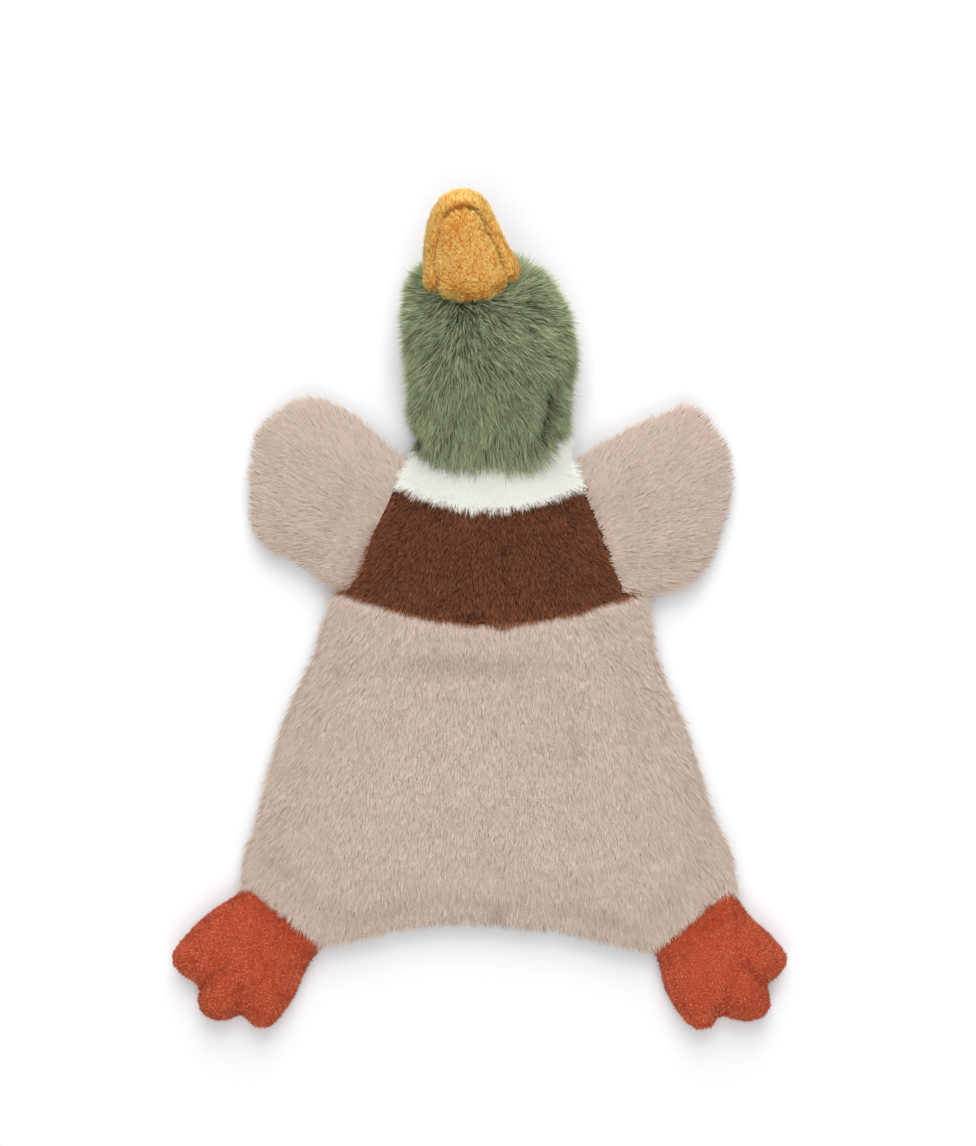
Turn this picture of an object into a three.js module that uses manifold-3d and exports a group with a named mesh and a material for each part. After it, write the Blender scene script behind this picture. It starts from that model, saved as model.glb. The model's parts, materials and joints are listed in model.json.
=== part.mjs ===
// A flat plush duck lying on its back: a floppy fur-fabric torso with a crinkle sheet inside, a stuffed
// head with a squeaker, a two-part velour bill, two fur-fabric wings and two stuffed velour feet.
// Millimetres, +Z up, +Y towards the bill. Every piece is cut and sewn as its own solid.
import * as THREE from "three";
import { mergeVertices } from "three/addons/utils/BufferGeometryUtils.js";
import Module from "manifold-3d";

// Clearances and cuts
const seamGap = 0.3; // between two pieces that are sewn together or rest on each other
const hingeGap = 0.8; // at a seam that the head, a wing or a foot bends about
const cutOverrun = 5; // how far a cutting block reaches past what it cuts

// Fabric
const seamEdge = 0.35; // half thickness of a padded part where its two panels are sewn
const furSkin = 6; // fur fabric of the head with its pile
const velourSkin = 1.6; // velour of the bill and feet
const fillingRing = 1; // which of a padded part's rings its filling starts at

// Torso: collar, chest and body, measured down from the neck seam
const neckWidth = 73;
const shoulderWidth = 116;
const shoulderDrop = 55;
const hemWidth = 193;
const footSeamTop = 171;
const hemCornerWidth = 136;
const torsoLength = 193.5;
const hemArch = 12;
const backDepth = 7; // from the seam plane down to the floor
const frontHeight = 10;
const torsoEdgeRamp = 24;
const leftBow = 3; // how much further the left side bows out than the right
const sideShares = [
  [0.663, 0.351], [0.736, 0.45], [0.808, 0.553], [0.881, 0.656], [0.943, 0.749], [0.985, 0.827],
];
const hemShares = [[0.74, 0], [0.5, 0.25], [0.25, 0.66]]; // half width from the middle, rise of the arch
const torsoRingShares = [0, 0.07, 0.18, 0.36];
const torsoStep = 13;

// Seams that split the torso across, each as [half width, drop below the neck seam]
const collarDrop = 20.8;
const collarRise = 24; // how much higher the seam is at the sides than in the middle
const waistDrop = 68.3;
const waistRise = 13.5;
const seamHalfWidth = 62;
const seamSteps = 10;

// Crinkle sheet between the torso's front and back panels
const sheetThickness = 0.6;
const sheetInsetShare = 0.17;
const pocketStart = 3;
const pocketRamp = 7;
const sheetPocket = sheetThickness / 2 + seamGap / 2;

// Wings, along and out from the shoulder seam
const wingSpan = 54;
const wingHeight = 64;
const wingFront = 6;
const wingEdgeRamp = 15;
const leftWingShares = [
  [0.531, 0.203], [0.596, 0.465], [0.586, 0.733], [0.5, 0.897], [0.377, 0.987], [0.25, 1.014], [0.019, 0.929],
  [-0.206, 0.809], [-0.327, 0.711], [-0.368, 0.572], [-0.376, 0.295],
];
const rightWingShares = [
  [0.463, 0.252], [0.446, 0.491], [0.335, 0.73], [0.158, 0.871], [-0.008, 0.956], [-0.182, 1.007],
  [-0.353, 0.972], [-0.48, 0.923], [-0.527, 0.666], [-0.52, 0.428], [-0.501, 0.181],
];
const wingRootShare = 0.445;
const wingCentreShare = 0.48;
const wingRingShares = [0, 0.17, 0.45];
const wingStep = 8;

// Feet, across and out from the foot seam
const footWidth = 50;
const footLength = 49;
const footTop = 5.6;
const footEdgeRamp = 8;
const leftFootShares = [
  [0.452, 0.323], [0.496, 0.606], [0.486, 0.781], [0.379, 0.859], [0.27, 0.854], [0.179, 0.837], [0.091, 0.949],
  [-0.018, 1.01], [-0.116, 0.965], [-0.183, 0.882], [-0.218, 0.803], [-0.328, 0.844], [-0.409, 0.823],
  [-0.444, 0.722], [-0.415, 0.491], [-0.357, 0.259],
];
const rightFootShares = [
  [0.468, 0.232], [0.528, 0.453], [0.558, 0.671], [0.52, 0.755], [0.455, 0.784], [0.335, 0.73], [0.277, 0.826],
  [0.169, 0.923], [0.062, 0.957], [-0.018, 0.885], [-0.096, 0.76], [-0.227, 0.766], [-0.351, 0.691],
  [-0.384, 0.472], [-0.346, 0.237],
];
const footRootShare = 0.345;
const footCentreShare = 0.47;
const footRingShares = [0, 0.14, 0.38];
const footStep = 4.8;

// Head: shares of the length, half width, top and bottom at each station from the neck seam
const headLength = 80;
const headWidth = 67;
const headDepth = 49;
const headStations = [0, 0.04, 0.1, 0.18, 0.28, 0.4, 0.52, 0.64, 0.75, 0.85, 0.92, 0.97, 1];
const headWidthShares = [0.9, 0.93, 0.94, 0.95, 0.965, 0.985, 1, 1, 0.965, 0.87, 0.73, 0.52, 0.25];
const headTopShares = [0.155, 0.29, 0.45, 0.61, 0.78, 0.92, 0.99, 1, 0.96, 0.87, 0.77, 0.66, 0.52];
const headBottomShares = [0.137, 0.085, 0.035, 0.005, 0, 0, 0, 0, 0, 0.03, 0.1, 0.19, 0.3];
const headWaistShare = 0.45; // level of the widest point between bottom and top
const headSquareness = 2.4;
const headLean = -4.8; // sideways shift of the head's far end
const headSides = 24;
const cavityStart = 17;
const cavityStations = 6;
const middlePanelShare = 0.255; // half width of the throat and crown panels, of the head's width
const facePlaneRise = 20; // of the split between throat and crown, from the neck to the face
const basePanelThickness = 1.5;

// Eyes: domed safety eyes with lock washers
const eyeRadius = 4.5;
const eyeHeight = 3.6;
const eyeSink = 3.2; // of the eye's flat back into the fur
const stemRadius = 1.3;
const stemClearance = 0.3;
const washerRadius = 4;
const washerThickness = 1.2;
const stemTail = 0.8;
const eyeShare = 0.75; // how far along the head
const eyeLevelShare = 0.286; // of the head's depth
const roundSides = 16;
const domeSteps = 4;

// Squeaker: a blown bulb with a reed insert in its neck
const bulbRadius = 15;
const bulbHalfHeight = 7.5;
const bulbWall = 1.2;
const bulbNeckRadius = 5;
const bulbNeckLength = 3;
const reedBore = 1.2;
const reedLength = 6;
const squeakerShare = 0.575; // how far along the head
const bulbSteps = 3;

// Bill, along and across from the jaw hinge
const billTilt = THREE.MathUtils.degToRad(13);
const billTurn = THREE.MathUtils.degToRad(7.4);
const billOffset = -4.8;
const jawShare = 0.745; // how far along the head the jaw hinge is
const jawSink = 3; // of the jaw hinge into the head's fur
const lowerBillLength = 38.5;
const lowerBillWidth = 28.5;
const lowerBillTop = 6;
const lowerBillBottom = 3.4;
const lowerBillRamp = 9;
const lowerBillTipShare = -0.04; // sideways shift of the tip, of the width
const lowerBillLeftShares = [
  [0.26, 0.025], [0.44, 0.1], [0.525, 0.22], [0.52, 0.4], [0.49, 0.56], [0.4, 0.78], [0.28, 0.925], [0.15, 0.985],
];
const lowerBillRightShares = [
  [0.22, 0.025], [0.37, 0.1], [0.43, 0.2], [0.39, 0.34], [0.325, 0.52], [0.24, 0.7], [0.17, 0.85], [0.08, 0.96],
];
const upperBillLength = 44;
const upperBillWidth = 36.5;
const upperBillTop = 6.6;
const upperBillRamp = 7;
const upperBillTipShare = -0.02; // sideways shift of the tip, of the width
const upperBillLeftShares = [
  [0.45, 0], [0.52, 0.16], [0.505, 0.36], [0.47, 0.55], [0.39, 0.76], [0.27, 0.92], [0.13, 0.99],
];
const upperBillRightShares = [
  [0.46, 0], [0.5, 0.14], [0.45, 0.3], [0.355, 0.5], [0.285, 0.7], [0.215, 0.87], [0.11, 0.97],
];
const upperBillDrop = 6.8; // of the upper bill's seam plane below the lower bill's
const palateHeight = 2.4;
const rimHeight = 8.6;
const rimRamp = 3.4;
const rimClearance = 0.6;
const billRingShares = [0, 0.14, 0.32, 0.58];
const billCentreShare = 0.42;
const billStep = 5;

// Materials, one for each fabric or plastic
const material = (color, roughness) => new THREE.MeshStandardMaterial({ color, roughness, metalness: 0 });
const taupeFur = material(0xbba998, 0.95);
const brownFur = material(0x5a3322, 0.95);
const whiteFur = material(0xf0efe8, 0.95);
const greenFur = material(0x6d8160, 0.95);
const rustVelour = material(0xc0512e, 0.9);
const yellowVelour = material(0xe0a03c, 0.9);
const fibreFilling = material(0xf4f4f0, 1);
const blackPlastic = material(0x111111, 0.15);
const clearPlastic = material(0xe8e8e2, 0.4);
const crinkleFilm = material(0xdfe3e6, 0.35);

const toy = new THREE.Group();
const wasm = await Module();
wasm.setup();

// Solids and meshes
function solidOf(geometry) {
  const bare = new THREE.BufferGeometry().setAttribute("position", geometry.getAttribute("position"));
  bare.setIndex(geometry.getIndex());
  const merged = mergeVertices(bare);
  return new wasm.Manifold(
    new wasm.Mesh({
      numProp: 3,
      vertProperties: merged.attributes.position.array,
      triVerts: new Uint32Array(merged.index.array),
    }),
  );
}

function geometryOf(solid) {
  const { vertProperties, triVerts } = solid.getMesh();
  const geometry = new THREE.BufferGeometry();
  geometry.setAttribute("position", new THREE.BufferAttribute(new Float32Array(vertProperties), 3));
  geometry.setIndex(new THREE.BufferAttribute(new Uint32Array(triVerts), 1));
  return geometry;
}

function addPiece(name, shape, finish, parent = toy) {
  const geometry = shape.isBufferGeometry ? shape : geometryOf(shape);
  geometry.computeVertexNormals();
  const mesh = new THREE.Mesh(geometry, finish);
  mesh.name = name;
  parent.add(mesh);
}

function blockSolid(low, high) {
  const size = high.clone().sub(low);
  const middle = low.clone().add(high).divideScalar(2);
  return solidOf(new THREE.BoxGeometry(size.x, size.y, size.z).translate(middle.x, middle.y, middle.z));
}

// Indexed geometry from rows of points, each row a closed ring, with a fan at each end. Each four-sided
// gap is split along its shorter diagonal.
function ringsGeometry(rings, startPoint, endPoint) {
  const sides = rings[0].length;
  const points = [...rings.flat(), startPoint, endPoint];
  const start = points.length - 2;
  const faces = [];
  for (let side = 0; side < sides; side += 1) {
    const next = (side + 1) % sides;
    faces.push(start, side, next);
    for (let row = 0; row < rings.length - 1; row += 1) {
      const near = row * sides;
      const far = near + sides;
      const [a, b, c, d] = [near + side, far + side, far + next, near + next];
      const slanted = points[a].distanceTo(points[c]) <= points[b].distanceTo(points[d]);
      faces.push(...(slanted ? [a, b, c, a, c, d] : [a, b, d, b, c, d]));
    }
    const last = (rings.length - 1) * sides;
    faces.push(start + 1, last + next, last + side);
  }
  return new THREE.BufferGeometry().setFromPoints(points).setIndex(faces);
}

// Points along a path's own curves, about one step apart
function outlineOf(path, step) {
  return path.curves.flatMap((curve) => {
    const pieces = Math.max(2, Math.round(curve.getLength() / step));
    return curve.getSpacedPoints(pieces).slice(0, -1);
  });
}

// How far a point lies from an outline
function edgeDistance(point, outline) {
  const nearest = new THREE.Vector3();
  const spot = new THREE.Vector3(point.x, point.y, 0);
  return outline.reduce((least, from, index) => {
    const to = outline[(index + 1) % outline.length];
    const side = new THREE.Line3(new THREE.Vector3(from.x, from.y, 0), new THREE.Vector3(to.x, to.y, 0));
    side.closestPointToPoint(spot, true, nearest);
    return Math.min(least, nearest.distanceTo(spot));
  }, Infinity);
}

// A padded solid over an outline that runs counter-clockwise. Its rings draw in to the centre by their
// shares, and top and bottom give the height at a point and its distance from the outline.
function padGeometry({ outline, centre, ringShares, top, bottom }) {
  const spots = ringShares.map((share) => outline.map((point) => point.clone().lerp(centre, share)));
  const raised = (spot, height) => new THREE.Vector3(spot.x, spot.y, height(spot, edgeDistance(spot, outline)));
  const surface = (height) => spots.map((ring) => ring.map((spot) => raised(spot, height)));
  const rings = [...surface(bottom).reverse(), ...surface(top)];
  return ringsGeometry(rings.map((ring) => [...ring].reverse()), raised(centre, bottom), raised(centre, top));
}

// Height of a padded part's surface over its seam plane: thin at the seam, then a soft swell
const swell = (distance, ramp) => Math.sin((Math.PI / 2) * Math.min(Math.max(distance / ramp, 0), 1));
const padHeight = (distance, full, ramp) => seamEdge + (full - seamEdge) * swell(distance, ramp);

// The two panels of a padded part, each sewn at the seam plane and holed by recess above it
function padPanels({ outline, centre, ringShares, front, back, frontRecess, backRecess }) {
  const halfGap = seamGap / 2;
  const shape = { outline, centre, ringShares };
  return {
    front: padGeometry({
      ...shape,
      top: (spot, distance) => halfGap + front(distance, spot),
      bottom: (spot, distance) => halfGap + frontRecess(distance, spot),
    }),
    back: padGeometry({
      ...shape,
      top: (spot, distance) => -halfGap - backRecess(distance, spot),
      bottom: (spot, distance) => -halfGap - back(distance, spot),
    }),
  };
}

const seamLevel = backDepth + seamGap / 2;
const noRecess = () => 0;
const hollow = (height, skin) => (distance, spot) => Math.max(height(distance, spot) - skin, 0);

// Torso
function torsoOutline() {
  const neck = neckWidth / 2;
  const shoulder = shoulderWidth / 2;
  const hem = hemWidth / 2;
  const corner = hemCornerWidth / 2;
  const side = (sign, bow) =>
    sideShares.map(([across, along]) => new THREE.Vector2(sign * (across * hem + bow), -along * torsoLength));
  const arch = (sign) =>
    hemShares.map(([across, rise]) => new THREE.Vector2(sign * across * corner, rise * hemArch - torsoLength));
  const path = new THREE.Path();
  path.moveTo(neck, 0);
  path.lineTo(-neck, 0);
  path.lineTo(-shoulder, -shoulderDrop);
  path.splineThru([...side(-1, leftBow), new THREE.Vector2(-hem, -footSeamTop)]);
  path.lineTo(-corner, -torsoLength);
  path.splineThru([
    ...arch(-1),
    new THREE.Vector2(0, hemArch - torsoLength),
    ...arch(1).reverse(),
    new THREE.Vector2(corner, -torsoLength),
  ]);
  path.lineTo(hem, -footSeamTop);
  path.splineThru([...side(1, 0).reverse(), new THREE.Vector2(shoulder, -shoulderDrop)]);
  path.lineTo(neck, 0);
  return outlineOf(path, torsoStep);
}

// Points of a seam across the torso, sagging in the middle like the photographed one
function seamLine(drop, rise, shift) {
  const points = [];
  for (let step = 0; step <= seamSteps; step += 1) {
    const across = (2 * step) / seamSteps - 1;
    const lift = rise * (1 - Math.cos((across * Math.PI) / 2));
    points.push(new THREE.Vector2(across * seamHalfWidth, lift - drop + shift));
  }
  return points;
}

// The block of space between an upper and a lower line, through the torso's whole thickness
function bandSolid(upper, lower) {
  const reach = hemWidth;
  const ends = (line) => [
    new THREE.Vector2(-reach, line[0].y),
    ...line,
    new THREE.Vector2(reach, line[line.length - 1].y),
  ];
  const shape = new THREE.Shape([...ends(lower), ...ends(upper).reverse()]);
  const depth = backDepth + frontHeight + 2 * cutOverrun;
  const block = new THREE.ExtrudeGeometry(shape, { depth, bevelEnabled: false });
  return solidOf(block.translate(0, 0, -backDepth - cutOverrun));
}

function addTorso() {
  const outline = torsoOutline();
  const centre = new THREE.Vector2(0, -torsoLength * 0.56);
  const pocket = (distance) => sheetPocket * Math.min(Math.max((distance - pocketStart) / pocketRamp, 0), 1);
  const panels = padPanels({
    outline,
    centre,
    ringShares: torsoRingShares,
    front: (distance) => padHeight(distance, frontHeight, torsoEdgeRamp),
    back: (distance) => padHeight(distance, backDepth, torsoEdgeRamp),
    frontRecess: pocket,
    backRecess: pocket,
  });
  const level = (y) => [new THREE.Vector2(0, y)];
  const half = seamGap / 2;
  const bands = {
    collar: bandSolid(level(cutOverrun), seamLine(collarDrop, collarRise, half)),
    chest: bandSolid(seamLine(collarDrop, collarRise, -half), seamLine(waistDrop, waistRise, half)),
    body: bandSolid(seamLine(waistDrop, waistRise, -half), level(-torsoLength - cutOverrun)),
  };
  const finishes = { collar: whiteFur, chest: brownFur, body: taupeFur };
  const torso = new THREE.Group();
  torso.position.z = seamLevel;
  for (const [side, geometry] of Object.entries(panels)) {
    const panel = solidOf(geometry);
    for (const [band, cutter] of Object.entries(bands)) {
      addPiece(`${band}_${side}_panel`, panel.intersect(cutter), finishes[band], torso);
    }
  }
  const sheet = padGeometry({
    outline,
    centre,
    ringShares: [sheetInsetShare],
    top: () => sheetThickness / 2,
    bottom: () => -sheetThickness / 2,
  });
  addPiece("crinkle_sheet", sheet, crinkleFilm, torso);
  toy.add(torso);
}

// Places a limb's group so that its own Y runs out from the middle of a seam between two points
function limbGroup(from, to) {
  const along = to.clone().sub(from);
  const outward = new THREE.Vector2(along.y, -along.x).normalize();
  const middle = from.clone().add(to).divideScalar(2).addScaledVector(outward, hingeGap);
  const group = new THREE.Group();
  group.position.set(middle.x, middle.y, seamLevel);
  group.rotation.z = outward.angle() - Math.PI / 2;
  toy.add(group);
  return group;
}

// Outline of a wing or foot in its group's plane, from one end of its seam round to the other
function limbOutline(shares, width, length, rootHalf, step) {
  const rim = shares.map(([across, out]) => new THREE.Vector2(across * width, out * length));
  const path = new THREE.Path();
  path.moveTo(rootHalf, 0);
  path.splineThru([...rim, new THREE.Vector2(-rootHalf, 0)]);
  path.lineTo(rootHalf, 0);
  return outlineOf(path, step);
}

function addWing(name, mirror, shares) {
  const top = new THREE.Vector2((mirror * neckWidth) / 2, 0);
  const bottom = new THREE.Vector2((mirror * shoulderWidth) / 2, -shoulderDrop);
  const wing = mirror > 0 ? limbGroup(bottom, top) : limbGroup(top, bottom);
  const panels = padPanels({
    outline: limbOutline(shares, wingHeight, wingSpan, wingRootShare * wingHeight, wingStep),
    centre: new THREE.Vector2(0, wingCentreShare * wingSpan),
    ringShares: wingRingShares,
    front: (distance) => padHeight(distance, wingFront, wingEdgeRamp),
    back: (distance) => padHeight(distance, backDepth, wingEdgeRamp),
    frontRecess: noRecess,
    backRecess: noRecess,
  });
  addPiece(`${name}_front_panel`, panels.front, taupeFur, wing);
  addPiece(`${name}_back_panel`, panels.back, taupeFur, wing);
}

function addFoot(name, mirror, shares) {
  const outer = new THREE.Vector2((mirror * hemWidth) / 2, -footSeamTop);
  const inner = new THREE.Vector2((mirror * hemCornerWidth) / 2, -torsoLength);
  const foot = mirror > 0 ? limbGroup(inner, outer) : limbGroup(outer, inner);
  const outline = limbOutline(shares, footWidth, footLength, footRootShare * footWidth, footStep);
  const centre = new THREE.Vector2(0, footCentreShare * footLength);
  const front = (distance) => padHeight(distance, footTop, footEdgeRamp);
  const back = (distance) => padHeight(distance, backDepth, footEdgeRamp);
  const frontRecess = hollow(front, velourSkin);
  const backRecess = hollow(back, velourSkin);
  const panels = padPanels({ outline, centre, ringShares: footRingShares, front, back, frontRecess, backRecess });
  const filling = padGeometry({
    outline,
    centre,
    ringShares: footRingShares.slice(fillingRing),
    top: (spot, distance) => frontRecess(distance) - seamGap / 2,
    bottom: (spot, distance) => seamGap / 2 - backRecess(distance),
  });
  addPiece(`${name}_top_panel`, panels.front, rustVelour, foot);
  addPiece(`${name}_sole_panel`, panels.back, rustVelour, foot);
  addPiece(`${name}_filling`, filling, fibreFilling, foot);
}

// Head form
function shareCurve(shares) {
  const curve = new THREE.CubicInterpolant(headStations, shares, 1);
  return (y) => curve.evaluate((y - hingeGap) / headLength)[0];
}

const widthAt = shareCurve(headWidthShares);
const topAt = shareCurve(headTopShares);
const bottomAt = shareCurve(headBottomShares);
const headHalfWidth = (y) => (widthAt(y) * headWidth) / 2;
const headTop = (y) => topAt(y) * headDepth;
const headFloor = (y) => -bottomAt(y) * headDepth;
const headCentre = (y) => headLean * (y / headLength) ** 2;

// A profile's value at y, moved in by a margin, or out by a negative one
function offsetProfile(profile, y, margin) {
  const samples = 8;
  const values = [];
  for (let sample = -samples; sample <= samples; sample += 1) {
    const shift = (margin * sample) / samples;
    const reach = Math.sqrt(margin * margin - shift * shift);
    values.push(profile(y + shift) - Math.sign(margin) * reach);
  }
  return margin < 0 ? Math.max(...values) : Math.min(...values);
}

// Half width, bottom and top of the head at y, moved in by a margin
function headSection(y, margin) {
  const half = offsetProfile(headHalfWidth, y, margin);
  const high = offsetProfile(headTop, y, margin);
  const low = -offsetProfile(headFloor, y, margin);
  return { centre: headCentre(y), half, low, high, waist: low + headWaistShare * (high - low) };
}

function sectionPoints(y, margin) {
  const { centre, half, low, high, waist } = headSection(y, margin);
  const rounded = (value) => Math.sign(value) * Math.abs(value) ** (2 / headSquareness);
  const points = [];
  for (let side = 0; side < headSides; side += 1) {
    const angle = (2 * Math.PI * side) / headSides;
    const rise = rounded(Math.sin(angle));
    const height = rise > 0 ? rise * (high - waist) : rise * (waist - low);
    points.push(new THREE.Vector3(centre + rounded(Math.cos(angle)) * half, y, waist + height));
  }
  return points;
}

function headForm(margin, stations) {
  const rings = stations.map((y) => sectionPoints(y, margin));
  const middle = (y) => new THREE.Vector3(headCentre(y), y, headSection(y, margin).waist);
  return solidOf(ringsGeometry(rings, middle(stations[0]), middle(stations[stations.length - 1])));
}

// Half width of the head's surface at a level, moved in by a margin
function sideAt(y, level, margin) {
  const { half, low, high, waist } = headSection(y, margin);
  const reach = level > waist ? high - waist : waist - low;
  return half * (1 - (Math.abs(level - waist) / reach) ** headSquareness) ** (1 / headSquareness);
}

// Evenly spaced stations of the head's inside
function cavityRows(from, margin) {
  const rows = [];
  const to = headLength - margin;
  for (let row = 0; row <= cavityStations; row += 1) rows.push(from + ((to - from) * row) / cavityStations);
  return rows;
}

// The block of space above or below the face plane, which splits the throat from the crown
function faceBlock(above) {
  const from = -cutOverrun;
  const to = headLength + cutOverrun;
  const height = (y) => seamLevel + (facePlaneRise * y) / headLength + (above * seamGap) / 2;
  const limit = above > 0 ? headDepth + cutOverrun : -cutOverrun;
  const corners = [[from, height(from)], [to, height(to)], [to, limit], [from, limit]];
  const outline = corners.map(([y, z]) => new THREE.Vector2(y, z));
  const shape = new THREE.Shape(above > 0 ? outline : outline.reverse());
  const block = new THREE.ExtrudeGeometry(shape, { depth: headWidth, bevelEnabled: false });
  const turn = new THREE.Matrix4().makeBasis(
    new THREE.Vector3(0, 1, 0),
    new THREE.Vector3(0, 0, 1),
    new THREE.Vector3(1, 0, 0),
  );
  return solidOf(block.translate(0, 0, -headWidth / 2).applyMatrix4(turn));
}

const eyeAlong = eyeShare * headLength;
const eyeLevel = eyeLevelShare * headDepth;

// A turned solid about X at an eye's place. profile runs from the axis out and back to it.
function eyeTurned(profile, mirror) {
  const points = profile.map(([radius, along]) => new THREE.Vector2(radius, along));
  const turned = new THREE.LatheGeometry(points, roundSides).rotateZ((-mirror * Math.PI) / 2);
  return turned.translate(headCentre(eyeAlong), eyeAlong, eyeLevel);
}

function eyeParts(mirror) {
  const seat = sideAt(eyeAlong, eyeLevel, 0) - eyeSink;
  const washerFace = sideAt(eyeAlong, eyeLevel, furSkin) - 2 * seamGap;
  const washerBack = washerFace - washerThickness;
  const stemEnd = washerBack - stemTail;
  const dome = [];
  for (let step = 0; step <= domeSteps; step += 1) {
    const angle = (Math.PI / 2) * (step / domeSteps);
    dome.push([eyeRadius * Math.cos(angle), seat + eyeHeight * Math.sin(angle)]);
  }
  dome[domeSteps][0] = 0;
  const bore = stemRadius + stemClearance;
  return {
    eye: solidOf(eyeTurned([[0, stemEnd], [stemRadius, stemEnd], [stemRadius, seat], ...dome], mirror)),
    washer: solidOf(
      eyeTurned(
        [
          [bore, washerBack],
          [washerRadius, washerBack],
          [washerRadius, washerFace],
          [bore, washerFace],
          [bore, washerBack],
        ],
        mirror,
      ),
    ),
    bore: solidOf(
      eyeTurned(
        [
          [0, washerFace - cutOverrun],
          [washerRadius + seamGap, washerFace - cutOverrun],
          [washerRadius + seamGap, washerFace + seamGap],
          [bore, washerFace + seamGap],
          [bore, seat - seamGap],
          [eyeRadius + seamGap, seat - seamGap],
          [eyeRadius + seamGap, seat + eyeSink + cutOverrun],
          [0, seat + eyeSink + cutOverrun],
        ],
        mirror,
      ),
    ),
    pocket: solidOf(
      eyeTurned(
        [
          [0, stemEnd - seamGap],
          [washerRadius + seamGap, stemEnd - seamGap],
          [washerRadius + seamGap, seat],
          [0, seat],
        ],
        mirror,
      ),
    ),
  };
}

// Squeaker: turned about Z, with its neck on top
const squeakerAlong = squeakerShare * headLength;
const squeakerLevel = headDepth / 2;

function squeakerTurned(profile) {
  const points = profile.map(([radius, along]) => new THREE.Vector2(radius, along));
  const turned = new THREE.LatheGeometry(points, roundSides).rotateX(Math.PI / 2);
  return solidOf(turned.translate(headCentre(squeakerAlong), squeakerAlong, squeakerLevel));
}

// Quarter-round profile points of the bulb between its neck and its crown
function bulbProfile(inset) {
  const points = [];
  const neck = bulbNeckRadius - inset;
  const start = Math.acos(neck / (bulbRadius - inset));
  for (let step = 0; step <= 2 * bulbSteps; step += 1) {
    const angle = start - ((start + Math.PI / 2) * step) / (2 * bulbSteps);
    points.push([
      (bulbRadius - inset) * Math.cos(angle),
      (bulbHalfHeight - inset) * Math.sin(angle),
    ]);
  }
  points[points.length - 1][0] = 0;
  return points;
}

function squeakerParts() {
  const outside = bulbProfile(0).reverse();
  const inside = bulbProfile(bulbWall);
  const neckTop = outside[outside.length - 1][1] + bulbNeckLength;
  const reedRadius = bulbNeckRadius - bulbWall - seamGap;
  const bulb = [
    ...outside,
    [bulbNeckRadius, neckTop],
    [bulbNeckRadius - bulbWall, neckTop],
    ...inside,
  ];
  const reedBottom = neckTop - reedLength;
  const reed = [
    [reedBore, reedBottom],
    [reedRadius, reedBottom],
    [reedRadius, neckTop],
    [reedBore, neckTop],
    [reedBore, reedBottom],
  ];
  const envelope = [
    [0, -bulbHalfHeight - seamGap],
    [bulbRadius + seamGap, -bulbHalfHeight - seamGap],
    [bulbRadius + seamGap, bulbHalfHeight + seamGap],
    [bulbNeckRadius + seamGap, bulbHalfHeight + seamGap],
    [bulbNeckRadius + seamGap, neckTop + seamGap],
    [0, neckTop + seamGap],
  ];
  return { bulb: squeakerTurned(bulb), reed: squeakerTurned(reed), envelope: squeakerTurned(envelope) };
}

function addHead() {
  const outer = headForm(0, headStations.map((share) => share * headLength + hingeGap));
  const shell = outer.subtract(headForm(furSkin, cavityRows(cavityStart, furSkin)));
  const far = headLength + headWidth;
  const block = (from, to) =>
    blockSolid(new THREE.Vector3(from, -cutOverrun, -cutOverrun), new THREE.Vector3(to, far, headDepth + cutOverrun));
  const edge = seamGap / 2;
  const panelHalfWidth = middlePanelShare * headWidth;
  const middle = shell.intersect(block(edge - panelHalfWidth, panelHalfWidth - edge));
  const left = eyeParts(-1);
  const right = eyeParts(1);
  const leftSide = shell.intersect(block(-headWidth, -panelHalfWidth - edge)).subtract(left.bore);
  const rightSide = shell.intersect(block(panelHalfWidth + edge, headWidth)).subtract(right.bore);
  addPiece("head_left_panel", leftSide, greenFur);
  addPiece("head_right_panel", rightSide, greenFur);
  addPiece("throat_panel", middle.intersect(faceBlock(1)), greenFur);
  addPiece("crown_panel", middle.intersect(faceBlock(-1)), greenFur);
  addPiece("left_eye", left.eye, blackPlastic);
  addPiece("right_eye", right.eye, blackPlastic);
  addPiece("left_eye_washer", left.washer, clearPlastic);
  addPiece("right_eye_washer", right.washer, clearPlastic);

  const inset = furSkin + seamGap;
  const baseStart = cavityStart + seamGap;
  const baseEnd = baseStart + basePanelThickness;
  addPiece("head_base_panel", headForm(inset, [baseStart, baseEnd]), greenFur);
  const squeaker = squeakerParts();
  const filling = headForm(inset, cavityRows(baseEnd + seamGap, inset))
    .subtract(squeaker.envelope)
    .subtract(left.pocket)
    .subtract(right.pocket);
  const layer = (low, high) =>
    blockSolid(new THREE.Vector3(-headWidth, 0, low), new THREE.Vector3(headWidth, far, high));
  addPiece("head_filling_front", filling.intersect(layer(squeakerLevel + edge, headDepth)), fibreFilling);
  addPiece("head_filling_back", filling.intersect(layer(0, squeakerLevel - edge)), fibreFilling);
  addPiece("squeaker_bulb", squeaker.bulb, clearPlastic);
  addPiece("squeaker_reed", squeaker.reed, clearPlastic);
}

// Bill
const jawAlong = jawShare * headLength;

function billOutline({ left, right, tipShare, width, length, base }) {
  const side = (shares, sign) =>
    shares.map(([across, along]) => new THREE.Vector2(sign * across * width, along * length));
  const tip = new THREE.Vector2(tipShare * width, length);
  const path = new THREE.Path();
  if (base) {
    path.moveTo(0, 0);
    path.splineThru([...side(right, 1), tip, ...side(left, -1).reverse(), new THREE.Vector2(0, 0)]);
  } else {
    const [first, ...rest] = side(right, 1);
    path.moveTo(first.x, first.y);
    path.splineThru([...rest, tip, ...side(left, -1).reverse()]);
    path.lineTo(first.x, first.y);
  }
  return outlineOf(path, billStep);
}

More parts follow.
